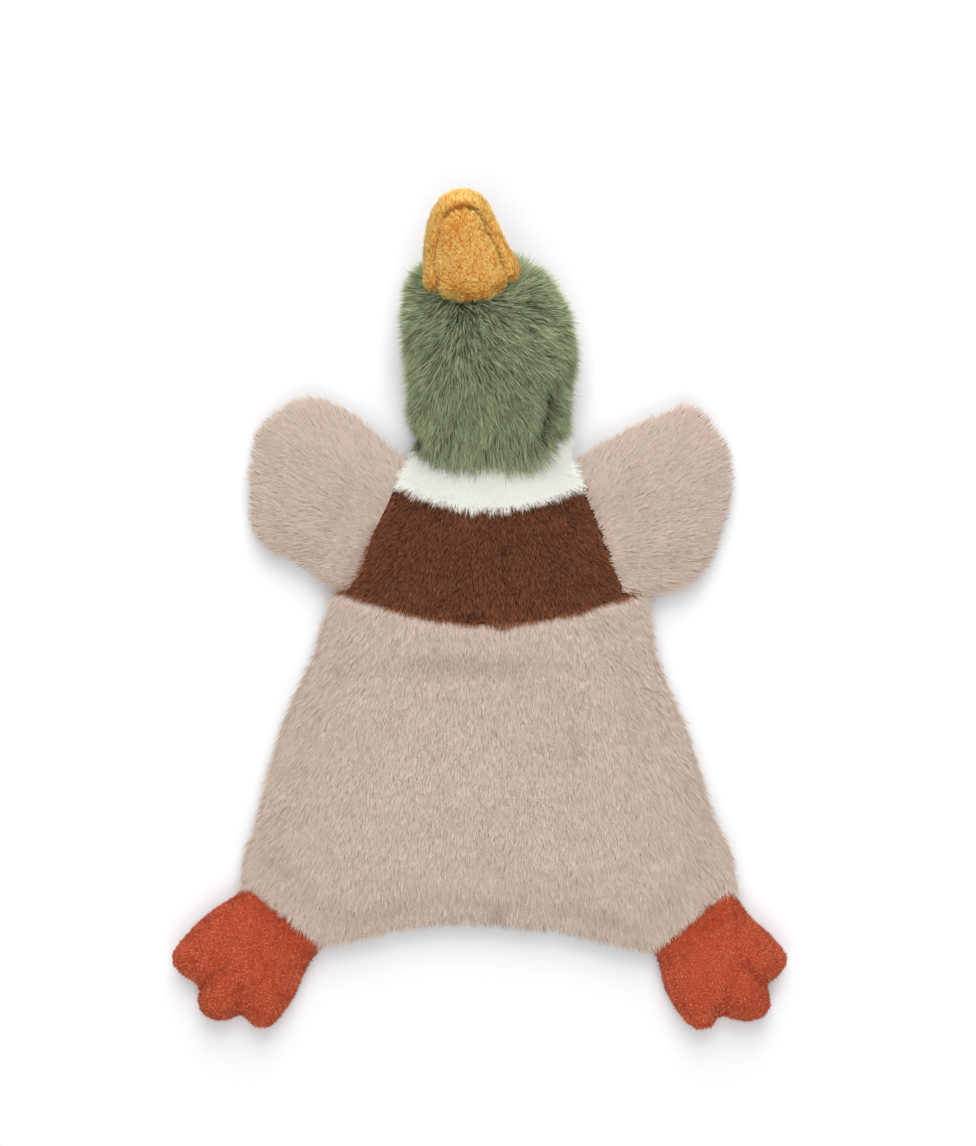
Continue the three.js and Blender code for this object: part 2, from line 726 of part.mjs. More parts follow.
// From the bill's own frame, with its origin on the jaw hinge, to the toy's
function billMatrix() {
  const turn = new THREE.Euler(billTilt, 0, billTurn, "ZXY");
  const place = new THREE.Vector3(billOffset, jawAlong, headTop(jawAlong) - jawSink);
  const unscaled = new THREE.Vector3(1, 1, 1);
  return new THREE.Matrix4().compose(place, new THREE.Quaternion().setFromEuler(turn), unscaled);
}

function addBill() {
  const matrix = billMatrix();
  const rows = headStations.map((share) => share * headLength);
  const head = headForm(-seamGap, [-seamGap, ...rows, headLength + hingeGap + seamGap]);
  const cut = (geometry) => solidOf(geometry.applyMatrix4(matrix)).subtract(head);

  const lowerOutline = billOutline({
    left: lowerBillLeftShares,
    right: lowerBillRightShares,
    tipShare: lowerBillTipShare,
    width: lowerBillWidth,
    length: lowerBillLength,
    base: true,
  });
  const lowerCentre = new THREE.Vector2(0, billCentreShare * lowerBillLength);
  const slope = (spot) => 1 - (0.45 * spot.y) / lowerBillLength; // the lower bill thins towards its tip
  const chin = (distance, spot) => padHeight(distance, lowerBillTop * slope(spot), lowerBillRamp);
  const inner = (distance, spot) => padHeight(distance, lowerBillBottom, lowerBillRamp);
  const lower = { outline: lowerOutline, centre: lowerCentre, ringShares: billRingShares };
  const lowerPanels = padPanels({
    ...lower,
    front: chin,
    back: inner,
    frontRecess: hollow(chin, velourSkin),
    backRecess: hollow(inner, velourSkin),
  });
  const lowerFilling = padGeometry({
    ...lower,
    ringShares: billRingShares.slice(fillingRing),
    top: (spot, distance) => hollow(chin, velourSkin)(distance, spot) - seamGap / 2,
    bottom: (spot, distance) => seamGap / 2 - hollow(inner, velourSkin)(distance, spot),
  });
  addPiece("lower_bill_chin_panel", cut(lowerPanels.front), yellowVelour);
  addPiece("lower_bill_inner_panel", cut(lowerPanels.back), yellowVelour);
  addPiece("lower_bill_filling", cut(lowerFilling), fibreFilling);

  const clear = (distance, spot) => seamGap + (distance < 0 ? 0 : inner(distance, spot));
  const room = padGeometry({
    outline: lowerOutline.map((point) => point.clone().lerp(lowerCentre, -rimClearance / lowerBillWidth)),
    centre: lowerCentre,
    ringShares: billRingShares,
    top: () => lowerBillTop + seamGap,
    bottom: (spot, distance) => -seamGap / 2 - clear(distance, spot),
  });
  const upperOutline = billOutline({
    left: upperBillLeftShares,
    right: upperBillRightShares,
    tipShare: upperBillTipShare,
    width: upperBillWidth,
    length: upperBillLength,
    base: false,
  });
  const upperCentre = new THREE.Vector2(0, billCentreShare * upperBillLength);
  const outer = (distance) => padHeight(distance, upperBillTop, upperBillRamp);
  const palate = (distance, spot) => {
    const beyond = insideOutline(spot, lowerOutline) ? 0 : edgeDistance(spot, lowerOutline);
    const rim = palateHeight + (rimHeight - palateHeight) * swell(beyond, rimRamp);
    return Math.min(rim, padHeight(distance, rimHeight, rimRamp));
  };
  const upper = { outline: upperOutline, centre: upperCentre, ringShares: billRingShares };
  const upperPanels = padPanels({
    ...upper,
    front: palate,
    back: outer,
    frontRecess: hollow(palate, velourSkin),
    backRecess: hollow(outer, velourSkin),
  });
  const least = seamGap;
  const upperFilling = padGeometry({
    ...upper,
    ringShares: billRingShares.slice(fillingRing),
    top: (spot, distance) => Math.max(hollow(palate, velourSkin)(distance, spot) - seamGap / 2, least),
    bottom: (spot, distance) => seamGap / 2 - hollow(outer, velourSkin)(distance, spot),
  });
  const lowered = (geometry) => geometry.translate(0, 0, -upperBillDrop);
  const nest = solidOf(room.applyMatrix4(matrix));
  addPiece("upper_bill_palate_panel", cut(lowered(upperPanels.front)).subtract(nest), yellowVelour);
  addPiece("upper_bill_top_panel", cut(lowered(upperPanels.back)), yellowVelour);
  addPiece("upper_bill_filling", cut(lowered(upperFilling)).subtract(nest), fibreFilling);
}

function insideOutline(spot, outline) {
  return outline.reduce((inside, from, index) => {
    const to = outline[(index + 1) % outline.length];
    const crosses = from.y > spot.y !== to.y > spot.y;
    const at = from.x + ((spot.y - from.y) * (to.x - from.x)) / (to.y - from.y);
    return crosses && spot.x < at ? !inside : inside;
  }, false);
}

addTorso();
addWing("left_wing", -1, leftWingShares);
addWing("right_wing", 1, rightWingShares);
addFoot("left_foot", -1, leftFootShares);
addFoot("right_foot", 1, rightFootShares);
addHead();
addBill();

// The origin is at the middle of the toy's footprint, on the surface that it lies on
const bounds = new THREE.Box3().setFromObject(toy, true);
const middle = bounds.getCenter(new THREE.Vector3());
toy.position.set(-middle.x, -middle.y, -bounds.min.z);

export default toy;
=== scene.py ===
"""The look of a flat plush duck on its back: fur torso, wings and head, velour bill and feet."""

import json
import math

import bpy
import bmesh
import numpy as np
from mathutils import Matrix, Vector
from mathutils.bvhtree import BVHTree
from mathutils.kdtree import KDTree


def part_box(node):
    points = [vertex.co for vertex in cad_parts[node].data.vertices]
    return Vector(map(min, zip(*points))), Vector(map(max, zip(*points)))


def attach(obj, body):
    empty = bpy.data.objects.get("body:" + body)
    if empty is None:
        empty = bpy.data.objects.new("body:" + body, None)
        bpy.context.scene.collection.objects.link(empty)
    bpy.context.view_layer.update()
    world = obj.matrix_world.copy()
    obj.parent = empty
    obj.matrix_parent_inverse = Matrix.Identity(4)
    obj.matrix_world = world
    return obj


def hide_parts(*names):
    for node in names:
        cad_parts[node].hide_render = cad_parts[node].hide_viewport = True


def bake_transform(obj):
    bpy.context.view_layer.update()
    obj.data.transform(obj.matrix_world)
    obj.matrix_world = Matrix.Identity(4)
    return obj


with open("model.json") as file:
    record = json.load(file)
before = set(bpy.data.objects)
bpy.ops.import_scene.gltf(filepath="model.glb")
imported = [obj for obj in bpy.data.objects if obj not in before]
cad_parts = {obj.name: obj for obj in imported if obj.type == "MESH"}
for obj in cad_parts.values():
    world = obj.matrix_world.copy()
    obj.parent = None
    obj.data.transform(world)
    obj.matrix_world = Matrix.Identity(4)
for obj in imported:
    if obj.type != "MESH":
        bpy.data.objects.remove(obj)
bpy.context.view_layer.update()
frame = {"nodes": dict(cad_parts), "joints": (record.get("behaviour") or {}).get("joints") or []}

bpy.ops.object.select_all(action="DESELECT")

MM = 0.001
UP = np.array([0.0, 0.0, 1.0])

JOINTS = {row["name"]: row for row in frame["joints"]}
NECK = np.array(JOINTS["neck_bend"]["pos_m"], float)
JAW = np.array(JOINTS["bill_open"]["pos_m"], float)

# The torso's cutting pattern, measured down from the neck seam, which is just below the neck's joint
MIDLINE, NECK_SEAM, SEAM_LEVEL = NECK[0], NECK[1] - 0.4 * MM, NECK[2]
COLLAR_SEAM = (19.0 * MM, 24 * MM)  # drop below the neck seam, and its rise at the sides
WAIST_SEAM = (65.5 * MM, 13.5 * MM)
SEAM_HALF_WIDTH = 62 * MM
NECK_HALF, SHOULDER_HALF, HEM_HALF = 36.5 * MM, 58 * MM, 96.5 * MM
SHOULDER_DROP, HEM_DROP = 55 * MM, 171 * MM

BILL_BASE = JAW + np.array([-1.5, 2.5, 6]) * MM
PARTING = JAW + np.array([-8, -12, 0]) * MM
FLOOR_GAP = 0.15 * MM

# Folds of the head seen from above, each with its start, end and width
CHEEK_FOLD = ((26.0 * MM, 92 * MM), (23.5 * MM, 73 * MM), 2.3 * MM)
JOWL_FOLD = ((-29 * MM, 80 * MM), (-22.5 * MM, 71 * MM), 2.0 * MM)


# Mesh helpers
def deselect():
    for chosen in list(bpy.context.selected_objects):
        chosen.select_set(False)


def make_active(piece):
    deselect()
    piece.select_set(True)
    bpy.context.view_layer.objects.active = piece


def read_rows(rows, attribute):
    """Three numbers for each of a mesh's rows."""
    flat = np.empty(len(rows) * 3, np.float32)
    rows.foreach_get(attribute, flat)
    return flat.reshape(-1, 3).astype(float)


def places(piece):
    return read_rows(piece.data.vertices, "co")


def set_places(piece, co):
    piece.data.vertices.foreach_set("co", np.asarray(co, np.float32).ravel())
    piece.data.update()


def facings(piece):
    return read_rows(piece.data.vertex_normals, "vector")


def unit(vectors):
    return vectors / np.maximum(np.linalg.norm(vectors, axis=-1, keepdims=True), 1e-9)


def smooth_step(value, low, high):
    t = np.clip((value - low) / (high - low), 0, 1)
    return t * t * (3 - 2 * t)


def bell(*ratios):
    """1 where the ratios are 0, falling off smoothly on both sides."""
    return np.exp(-sum(ratio**2 for ratio in ratios))


def apply_modifier(piece, modifier):
    make_active(piece)
    bpy.ops.object.modifier_apply(modifier=modifier.name)


def edit_mesh(piece, *steps):
    """Runs steps on the whole mesh of a piece."""
    make_active(piece)
    bpy.ops.object.mode_set(mode="EDIT")
    bpy.ops.mesh.select_all(action="SELECT")
    for step in steps:
        step()
    bpy.ops.object.mode_set(mode="OBJECT")


def even_out(piece, passes):
    easing = piece.modifiers.new("even_out", "SMOOTH")
    easing.factor, easing.iterations = 0.5, passes
    apply_modifier(piece, easing)


def sewn_shell(name, nodes, voxel, passes):
    """One closed skin round the solids of the named nodes."""
    parts = []
    for node in nodes:
        part = bpy.data.objects.new(name, frame["nodes"][node].data.copy())
        bpy.context.scene.collection.objects.link(part)
        parts.append(part)
    make_active(parts[0])
    for part in parts:
        part.select_set(True)
    bpy.ops.object.join()
    shell = bpy.context.view_layer.objects.active
    shell.name = shell.data.name = name
    shell.data.materials.clear()
    while shell.data.uv_layers:
        shell.data.uv_layers.remove(shell.data.uv_layers[0])
    edit_mesh(
        shell,
        lambda: bpy.ops.mesh.remove_doubles(threshold=1e-6),
        lambda: bpy.ops.mesh.normals_make_consistent(inside=False),
    )
    set_places(shell, places(shell) + facings(shell) * 0.25 * MM)
    remesh = shell.modifiers.new("cloth", "REMESH")
    remesh.mode, remesh.voxel_size = "VOXEL", voxel
    apply_modifier(shell, remesh)
    edit_mesh(shell, lambda: bpy.ops.mesh.separate(type="LOOSE"))
    islands = sorted(bpy.context.selected_objects, key=lambda o: -len(o.data.vertices))
    for island in islands[1:]:
        bpy.data.objects.remove(island)
    shell = islands[0]
    shell.name = shell.data.name = name
    even_out(shell, passes)
    return shell


def drift(points, wave, seed):
    """Soft random unevenness from -1 to 1 with that wavelength."""
    maker = np.random.default_rng(seed)
    total = np.zeros(len(points))
    for _ in range(7):
        heading = unit(maker.normal(size=3))
        turn = 2 * np.pi / (wave * maker.uniform(0.7, 1.5))
        total += np.sin(points @ (heading * turn) + maker.uniform(0, 2 * np.pi))
    return total / 4


# Lie of the fur
def torso_spot(points):
    """Distance from the torso's middle to the right, and below the neck seam."""
    return points[:, 0] - MIDLINE, NECK_SEAM - points[:, 1]


def torso_half(drop):
    """Half the torso's width at each drop below the neck seam."""
    return np.interp(drop, [0, SHOULDER_DROP, HEM_DROP], [NECK_HALF, SHOULDER_HALF, HEM_HALF])


def seam_drop(across, seam):
    drop, rise = seam
    share = np.clip(across / SEAM_HALF_WIDTH, -1, 1)
    return drop - rise * (1 - np.cos(share * np.pi / 2))


def torso_comb(points):
    across, drop = torso_spot(points)
    share = np.clip(across / torso_half(drop), -1.1, 1.1)
    fan = np.sign(share) * np.abs(share) ** 1.4
    into_collar = 1 - smooth_step(drop - seam_drop(across, COLLAR_SEAM), -3 * MM, 3 * MM)
    into_body = smooth_step(drop - seam_drop(across, WAIST_SEAM), -3 * MM, 3 * MM)
    rising = 0.9 * (1 - smooth_step(drop, 0, 9 * MM))
    lean = (0.95 + rising) * into_collar + 0.55 * (1 - into_collar) * (1 - into_body) + 0.44 * into_body
    angle = lean * fan
    return np.stack([np.sin(angle), -np.cos(angle), np.zeros(len(points))], 1)


def collar_corner_comb(points):
    """Down over the neck seam, and more and more outward above it."""
    aside = np.sign(points[:, 0] - MIDLINE)
    ahead = np.interp(points[:, 1] - NECK_SEAM, [0, 12 * MM], [-1.3, -0.1])
    return unit(np.stack([aside, ahead, np.full(len(points), -0.3)], 1))


def fan_comb(origin):
    def comb(points):
        away = points - origin
        away[:, 2] = 0
        return unit(away)

    return comb


def head_comb(points):
    """Away from a line behind the bill's base, then down, parted a little left of the middle."""
    nearest = np.tile(BILL_BASE + np.array([0, 8, 0]) * MM, (len(points), 1))
    nearest[:, 0] = np.clip(points[:, 0], BILL_BASE[0] - 15 * MM, BILL_BASE[0] + 15 * MM)
    away = unit(points - nearest)
    downward = np.array([0.0, -1.0, 0.0])
    from_parting = points[:, 0] - PARTING[0] + 2.5 * MM * drift(points, 14 * MM, 8)
    near = bell((points[:, 1] - PARTING[1]) / (20 * MM))
    sideways = 1.0 * near * np.tanh(from_parting / (7 * MM)) + 0.25 * np.tanh(from_parting / (20 * MM))
    for turn, (start, end, width) in ((1.3, CHEEK_FOLD), (-1.1, JOWL_FOLD)):
        beyond = (points[:, 0] - (start[0] + end[0]) / 2) * np.sign(turn)
        beside = bell(beyond / (3 * width)) * bell((points[:, 1] - end[1]) / (12 * MM))
        sideways += turn * beside * smooth_step(beyond, -2 * MM, 2 * MM)
    sideways += 0.55 * bell((points[:, 0] - 12 * MM) / (18 * MM), (points[:, 1] - 96 * MM) / (24 * MM))
    return unit(away + 0.45 * downward + sideways[:, None] * np.array([1.0, 0, 0]))


# Fur strands
def spread_roots(cloth, density, seed):
    """Roots spread evenly over a skin, each with the skin's facing there."""
    mesh = cloth.data
    mesh.calc_loop_triangles()
    corners = np.empty(len(mesh.loop_triangles) * 3, np.int32)
    mesh.loop_triangles.foreach_get("vertices", corners)
    corners = corners.reshape(-1, 3)
    co, normal = places(cloth), facings(cloth)
    a, b, c = (co[corners[:, k]] for k in range(3))
    area = np.linalg.norm(np.cross(b - a, c - a), axis=1) / 2
    share = area * density((a + b + c) / 3, unit(np.cross(b - a, c - a)))
    total = share.cumsum()
    count = int(total[-1])
    maker = np.random.default_rng(seed)
    at = (np.arange(count) + maker.random(count)) * total[-1] / count
    face = np.searchsorted(total, at).clip(0, len(share) - 1)
    r, s = np.sqrt(maker.random(count)), maker.random(count)
    weights = np.stack([1 - r, r * (1 - s), r * s], 1)
    root = (co[corners[face]] * weights[:, :, None]).sum(1)
    return root, unit((normal[corners[face]] * weights[:, :, None]).sum(1))


def tuft_centres(root, cell, seed):
    """For each root, the middle of its tuft and a number shared by the tuft."""
    warped = root + cell * 0.9 * np.stack([drift(root, cell * 3, seed + k) for k in range(3)], 1)
    key = np.floor(warped / cell).astype(np.int64)
    _, tuft = np.unique(key @ np.array([73856093, 19349663, 83492791]), return_inverse=True)
    number = np.bincount(tuft)
    centre = np.stack([np.bincount(tuft, root[:, k]) / number for k in range(3)], 1)[tuft]
    return centre, tuft, len(number)


def turned(direction, facing, angle):
    """direction turned about facing."""
    side = np.cross(facing, direction)
    return direction * np.cos(angle)[:, None] + side * np.sin(angle)[:, None]


# Three corners at a strand's root and one at its tip
STRAND_FACES = ((0, 2, 1), (0, 1, 3), (1, 2, 3), (2, 0, 3))
STRAND_ON_MAP = ((0, 0.03), (0.012, 0.03), (0.006, 0.06), (0.006, 0.98))
PIECE_TRIANGLES = 185000


def strand_mesh(name, root, facing, comb, tint, kind, seed):
    """Tapered strands in tufts, each with its own spot on the map that the fur's colours read."""
    maker = np.random.default_rng(seed)
    centre, tuft, tufts = tuft_centres(root, kind["tuft"], seed)
    if kind["gaps"]:
        gap = np.linalg.norm(root - centre, axis=1) / kind["tuft"]
        kept = maker.random(len(root)) > kind["gaps"] * smooth_step(gap, 0.2, 0.6)
        rows = (root, facing, comb, tint, centre, tuft)
        root, facing, comb, tint, centre, tuft = (row[kept] for row in rows)
    count = len(root)
    own = maker.normal(size=(tufts, 4))
    _, clump, clumps = tuft_centres(root, kind["clump"], seed + 40)
    whole = maker.normal(size=(clumps, 3))
    tint = tint + kind["tuft_tint"] * own[tuft, 3] + kind["clump_tint"] * whole[clump, 0]
    tint = np.clip(tint + kind["stray_tint"] * maker.normal(size=count), 0, 1)
    flat = comb - facing * (comb * facing).sum(1, keepdims=True)
    reach = np.linalg.norm(flat, axis=1, keepdims=True)
    lie = unit(flat + 1e-6)
    stray = maker.normal(size=count)
    swing = np.radians(kind["swirl"]) * drift(root, kind["swirl_wave"], seed + 9)
    swing += np.radians(kind["tuft_swing"]) * own[tuft, 0] + np.radians(kind["stray"]) * stray
    swing += np.radians(kind["clump_swing"]) * whole[clump, 1]
    lie = turned(lie, facing, swing) * np.clip(reach, 0.25, 1)
    uneven = 1 + kind["uneven"] * maker.normal(size=count) + 0.08 * own[tuft, 1]
    size = kind["length"] * np.clip(uneven, 0.45, 1.5)
    if "scale" in kind:
        size = size * kind["scale"](root, facing)
    near, far = (np.radians(angle) for angle in kind["lift"])
    raise_by = 1 + kind["ruffle"] * (own[tuft, 2] + whole[clump, 2] + maker.normal(size=count))
    near, far = near * raise_by, far * raise_by
    first = unit(lie * np.cos(near)[:, None] + facing * np.sin(near)[:, None])
    second = unit(lie * np.cos(far)[:, None] + facing * np.sin(far)[:, None])
    half = size[:, None] / 2
    start = root - facing * kind["rooted"]
    middle = start + first * (half + kind["rooted"])
    tip = middle + second * half
    tip = tip + kind["gather"] * (centre - root)
    width = kind["width"] * np.clip(1 + 0.2 * maker.normal(size=count), 0.6, 1.5)[:, None]
    return spikes(name, facing, start, tip, width, tint, kind, maker)


def spikes(name, facing, start, tip, width, tint, kind, maker):
    """Closed three-sided spikes that stay above the floor and are lit much like the cloth they lie on."""
    count = len(start)
    side = unit(np.cross(facing, tip - start))
    ridge = unit(np.cross(tip - start, side))
    # The first row of draws only keeps their order
    floor = FLOOR_GAP + 0.5 * MM * maker.random((2, count))[1]
    soft = kind["soft"]
    level = kind["level"] * (facing[:, 2:] > 0)
    lie_of_cloth = unit(facing * (1 - level) + UP * level)

    def rested(at):
        return np.column_stack([at[:, :2], np.maximum(at[:, 2], floor)])

    def shade(radial):
        mixed = lie_of_cloth * soft + radial * (1 - soft)
        return unit(mixed + UP * kind["skyward"] + ridge * kind["rounded"])

    def on_map(aside, height):
        return np.stack([0.01 + 0.965 * tint + aside, np.full(count, height)], 1)

    base = [start - side * width * 0.5, start + side * width * 0.5, start + ridge * width * 0.45]
    co = np.stack([rested(at) for at in (*base, tip)], 1)
    lit = np.stack([shade(radial) for radial in (-side, side, ridge, ridge)], 1)
    uv = np.stack([on_map(*spot) for spot in STRAND_ON_MAP], 1)
    faces = (np.arange(count)[:, None, None] * 4 + np.array(STRAND_FACES)).reshape(-1, 3)
    return triangle_piece(name, co.reshape(-1, 3), faces, lit.reshape(-1, 3), uv.reshape(-1, 2))


def triangle_piece(name, co, faces, lit, uv):
    mesh = bpy.data.meshes.new(name)
    mesh.vertices.add(len(co))
    mesh.vertices.foreach_set("co", co.astype(np.float32).ravel())
    mesh.loops.add(len(faces) * 3)
    mesh.loops.foreach_set("vertex_index", faces.astype(np.int32).ravel())
    mesh.polygons.add(len(faces))
    mesh.polygons.foreach_set("loop_start", np.arange(0, len(faces) * 3, 3, dtype=np.int32))
    mesh.update(calc_edges=True)
    layer = mesh.uv_layers.new(name="OFBake", do_init=False)
    layer.uv.foreach_set("vector", uv[faces.ravel()].astype(np.float32).ravel())
    mesh.polygons.foreach_set("use_smooth", np.ones(len(faces), bool))
    mesh.normals_split_custom_set_from_vertices(lit.astype(np.float32))
    piece = bpy.data.objects.new(name, mesh)
    bpy.context.scene.collection.objects.link(piece)
    return piece


def pile(name, roots, comb, tint, kind, seed, finish, place):
    """Fur or velour pile, in one piece or cut across the toy into pieces that aren't too large."""
    pieces = math.ceil(len(roots[0]) * len(STRAND_FACES) / PIECE_TRIANGLES)
    along = roots[0][:, 1]
    cuts = np.quantile(along, np.linspace(0, 1, pieces + 1)[1:-1]) if pieces > 1 else []
    band = np.digitize(along, cuts)
    for number in range(pieces):
        root, facing = (part[band == number] for part in roots)
        label = name if pieces == 1 else f"{name}_{number + 1}"
        piece = strand_mesh(label, root, facing, comb(root), tint(root, facing), kind, seed)
        piece.data.materials.append(finish)
        place(piece)


# Finishes
def new_finish(name):
    finish = bpy.data.materials.new(name)
    finish.use_nodes = True
    tree = finish.node_tree
    return finish, tree, tree.nodes["Principled BSDF"]


def new_group(name, inputs, outputs):
    """A node group whose sockets are given as name and kind, with its ends."""
    group = bpy.data.node_groups.new(name, "ShaderNodeTree")
    for in_out, sockets in (("INPUT", inputs), ("OUTPUT", outputs)):
        for label, kind in sockets.items():
            group.interface.new_socket(name=label, in_out=in_out, socket_type=f"NodeSocket{kind}")
    return group, group.nodes.new("NodeGroupInput"), group.nodes.new("NodeGroupOutput")


def add_node(tree, kind, **values):
    """A new node, with values for inputs that have one-word names."""
    node = tree.nodes.new(f"ShaderNode{kind}")
    for socket, value in values.items():
        node.inputs[socket].default_value = value
    return node


def add_colour_mix(tree, blend="MIX"):
    mix = add_node(tree, "Mix")
    mix.data_type, mix.blend_type = "RGBA", blend
    return mix


def wire(tree, *joins):
    """Links sockets, each given as node, output, node and input."""
    for source, output, target, socket in joins:
        tree.links.new(source.outputs[output], target.inputs[socket])


def pile_colour_group():
    """Colour along a strand from root to tip, varied from strand to strand."""
    colours = dict.fromkeys(("Root", "Tip", "Dull strands", "Bright strands"), "Color")
    inputs = {"Strand": "Float", "Height": "Float", **colours, "Tip start": "Float"}
    group, inward, outward = new_group("pile_colour", inputs, {"Colour": "Color"})
    climb = add_node(group, "MapRange")
    climb.interpolation_type = "SMOOTHSTEP"
    climb.inputs["From Min"].default_value = 0
    along, strand = add_colour_mix(group), add_colour_mix(group)
    both = add_colour_mix(group, "MULTIPLY")
    both.inputs["Factor"].default_value = 1
    wire(
        group,
        (inward, "Height", climb, "Value"),
        (inward, "Tip start", climb, "From Max"),
        (climb, "Result", along, "Factor"),
        (inward, "Root", along, "A"),
        (inward, "Tip", along, "B"),
        (inward, "Strand", strand, "Factor"),
        (inward, "Dull strands", strand, "A"),
        (inward, "Bright strands", strand, "B"),
        (along, "Result", both, "A"),
        (strand, "Result", both, "B"),
        (both, "Result", outward, "Colour"),
    )
    return group


def knit_group():
    """Uneven colour and height of a knitted backing or a short nap."""
    inputs = {"Place": "Vector", "Valley": "Color", "Crown": "Color", "Grain": "Float", "Patch": "Float"}
    group, inward, outward = new_group("knitted_ground", inputs, {"Colour": "Color", "Height": "Float"})
    grain, patch = add_node(group, "TexNoise", Detail=4), add_node(group, "TexNoise", Detail=2)
    blend = add_node(group, "Mix", Factor=0.35)
    stretch = add_node(group, "MapRange")
    stretch.inputs["From Min"].default_value, stretch.inputs["From Max"].default_value = 0.3, 0.7
    colour = add_colour_mix(group)
    wire(
        group,
        (inward, "Place", grain, "Vector"),
        (inward, "Grain", grain, "Scale"),
        (inward, "Place", patch, "Vector"),
        (inward, "Patch", patch, "Scale"),
        (grain, "Fac", blend, "A"),
        (patch, "Fac", blend, "B"),
        (blend, "Result", stretch, "Value"),
        (stretch, "Result", colour, "Factor"),
        (inward, "Valley", colour, "A"),
        (inward, "Crown", colour, "B"),
        (colour, "Result", outward, "Colour"),
        (grain, "Fac", outward, "Height"),
    )
    return group


PILE_COLOUR, KNIT = pile_colour_group(), knit_group()


def linear(red, green, blue):
    """A colour as seen on a screen, from 0 to 255, as Blender's linear one."""
    shares = [c / 255 for c in (red, green, blue)]
    return [c / 12.92 if c <= 0.04045 else ((c + 0.055) / 1.055) ** 2.4 for c in shares] + [1]


def set_surface(surface, roughness, specular, sheen):
    surface.inputs["Roughness"].default_value = roughness
    surface.inputs["Specular IOR Level"].default_value = specular
    surface.inputs["Sheen Weight"].default_value = sheen


def pile_finish(name, root, tip, dull, bright, tip_start, sheen=0.3, sheen_tint=(1, 1, 1, 1)):
    finish, tree, surface = new_finish(name)
    chart = add_node(tree, "UVMap")
    chart.uv_map = "OFBake"
    split = add_node(tree, "SeparateXYZ")
    colour = add_node(tree, "Group")
    colour.node_tree = PILE_COLOUR
    for socket, value in (("Root", root), ("Tip", tip), ("Dull strands", dull), ("Bright strands", bright)):
        colour.inputs[socket].default_value = value
    colour.inputs["Tip start"].default_value = tip_start
    wire(
        tree,
        (chart, "UV", split, "Vector"),
        (split, "X", colour, "Strand"),
        (split, "Y", colour, "Height"),
        (colour, "Colour", surface, "Base Color"),
    )
    set_surface(surface, 0.85, 0.15, sheen)
    surface.inputs["Sheen Roughness"].default_value = 0.5
    surface.inputs["Sheen Tint"].default_value = sheen_tint
    return finish


def add_ray_share(tree, ray, share):
    """A node that gives the share for one kind of ray, and 0 for the others."""
    seen, amount = add_node(tree, "LightPath"), add_node(tree, "Math")
    amount.operation = "MULTIPLY"
    amount.inputs[1].default_value = share
    wire(tree, (seen, ray, amount, 0))
    return amount


def soften_shadows(finish, share):
    """Lets part of the light through, so pale strands shade each other less."""
    tree = finish.node_tree
    mixed = add_node(tree, "MixShader")
    wire(
        tree,
        (add_ray_share(tree, "Is Shadow Ray", share), "Value", mixed, "Fac"),
        (tree.nodes["Principled BSDF"], "BSDF", mixed, 1),
        (add_node(tree, "BsdfTransparent"), "BSDF", mixed, 2),
        (mixed, "Shader", tree.nodes["Material Output"], "Surface"),
    )


def ground_finish(
    name, valley, crown, grain=900, patch=60, bump=0.4, depth=0.4 * MM, roughness=0.9, sheen=0.2, specular=0.2
):
    finish, tree, surface = new_finish(name)
    ground = add_node(tree, "Group")
    ground.node_tree = KNIT
    for socket, value in (("Valley", valley), ("Crown", crown), ("Grain", grain), ("Patch", patch)):
        ground.inputs[socket].default_value = value
    relief = add_node(tree, "Bump", Strength=bump, Distance=depth)
    wire(
        tree,
        (add_node(tree, "TexCoord"), "Object", ground, "Place"),
        (ground, "Colour", surface, "Base Color"),
        (ground, "Height", relief, "Height"),
        (relief, "Normal", surface, "Normal"),
    )
    set_surface(surface, roughness, specular, sheen)
    return finish


WHITE = linear(255, 255, 255)
taupe_pile = pile_finish(
    "taupe_fur_pile", linear(190, 169, 152), linear(235, 213, 197), linear(210, 207, 204), WHITE, 0.6
)
brown_pile = pile_finish(
    "brown_fur_pile", linear(70, 38, 23), linear(206, 124, 84), linear(150, 164, 172), WHITE, 1.0,
    sheen=0.12, sheen_tint=(0.8, 0.5, 0.35, 1),
)
white_pile = pile_finish(
    "white_fur_pile", linear(253, 252, 243), linear(255, 255, 249), linear(247, 247, 240), WHITE, 0.6,
    sheen=0.6,
)
soften_shadows(white_pile, 0.7)
# The green's darkest roots are partly painted shade between the strands
green_pile = pile_finish(
    "green_fur_pile", linear(32, 40, 24), linear(216, 228, 186), linear(70, 79, 60), linear(255, 255, 246),
    1.0, sheen_tint=(0.85, 0.9, 0.7, 1),
)
rust_pile = pile_finish(
    "rust_velour_pile", linear(176, 66, 38), linear(238, 134, 94), linear(166, 138, 128), WHITE, 0.9,
    sheen=0.15, sheen_tint=(1, 0.6, 0.4, 1),
)
yellow_pile = pile_finish(
    "yellow_velour_pile", linear(202, 132, 40), linear(255, 229, 142), linear(226, 162, 84), WHITE, 0.9,
    sheen=0.1, sheen_tint=(1, 0.8, 0.4, 1),
)
# Backings show in the gaps between strands; where they are darker than the roots, that is painted shade
taupe_ground = ground_finish("taupe_fur_backing", linear(176, 156, 140), linear(200, 180, 164))
brown_ground = ground_finish("brown_fur_backing", linear(48, 24, 14), linear(72, 40, 26))
white_ground = ground_finish("white_fur_backing", linear(236, 236, 228), linear(250, 250, 244))
green_ground = ground_finish("green_fur_backing", linear(34, 40, 22), linear(56, 64, 38))
rust_ground = ground_finish("rust_velour_nap", linear(154, 55, 31), linear(188, 80, 50), grain=1400)
yellow_ground = ground_finish(
    "yellow_velour_nap", linear(172, 98, 26), linear(200, 126, 44), grain=1400, sheen=0
)


def keep_node(node, finish):
    """A CAD node that stays in view gets its own finish."""
    solid = frame["nodes"][node]
    if not solid.data.materials:
        solid.data.materials.append(finish)
    for place in solid.material_slots:
        place.material = finish


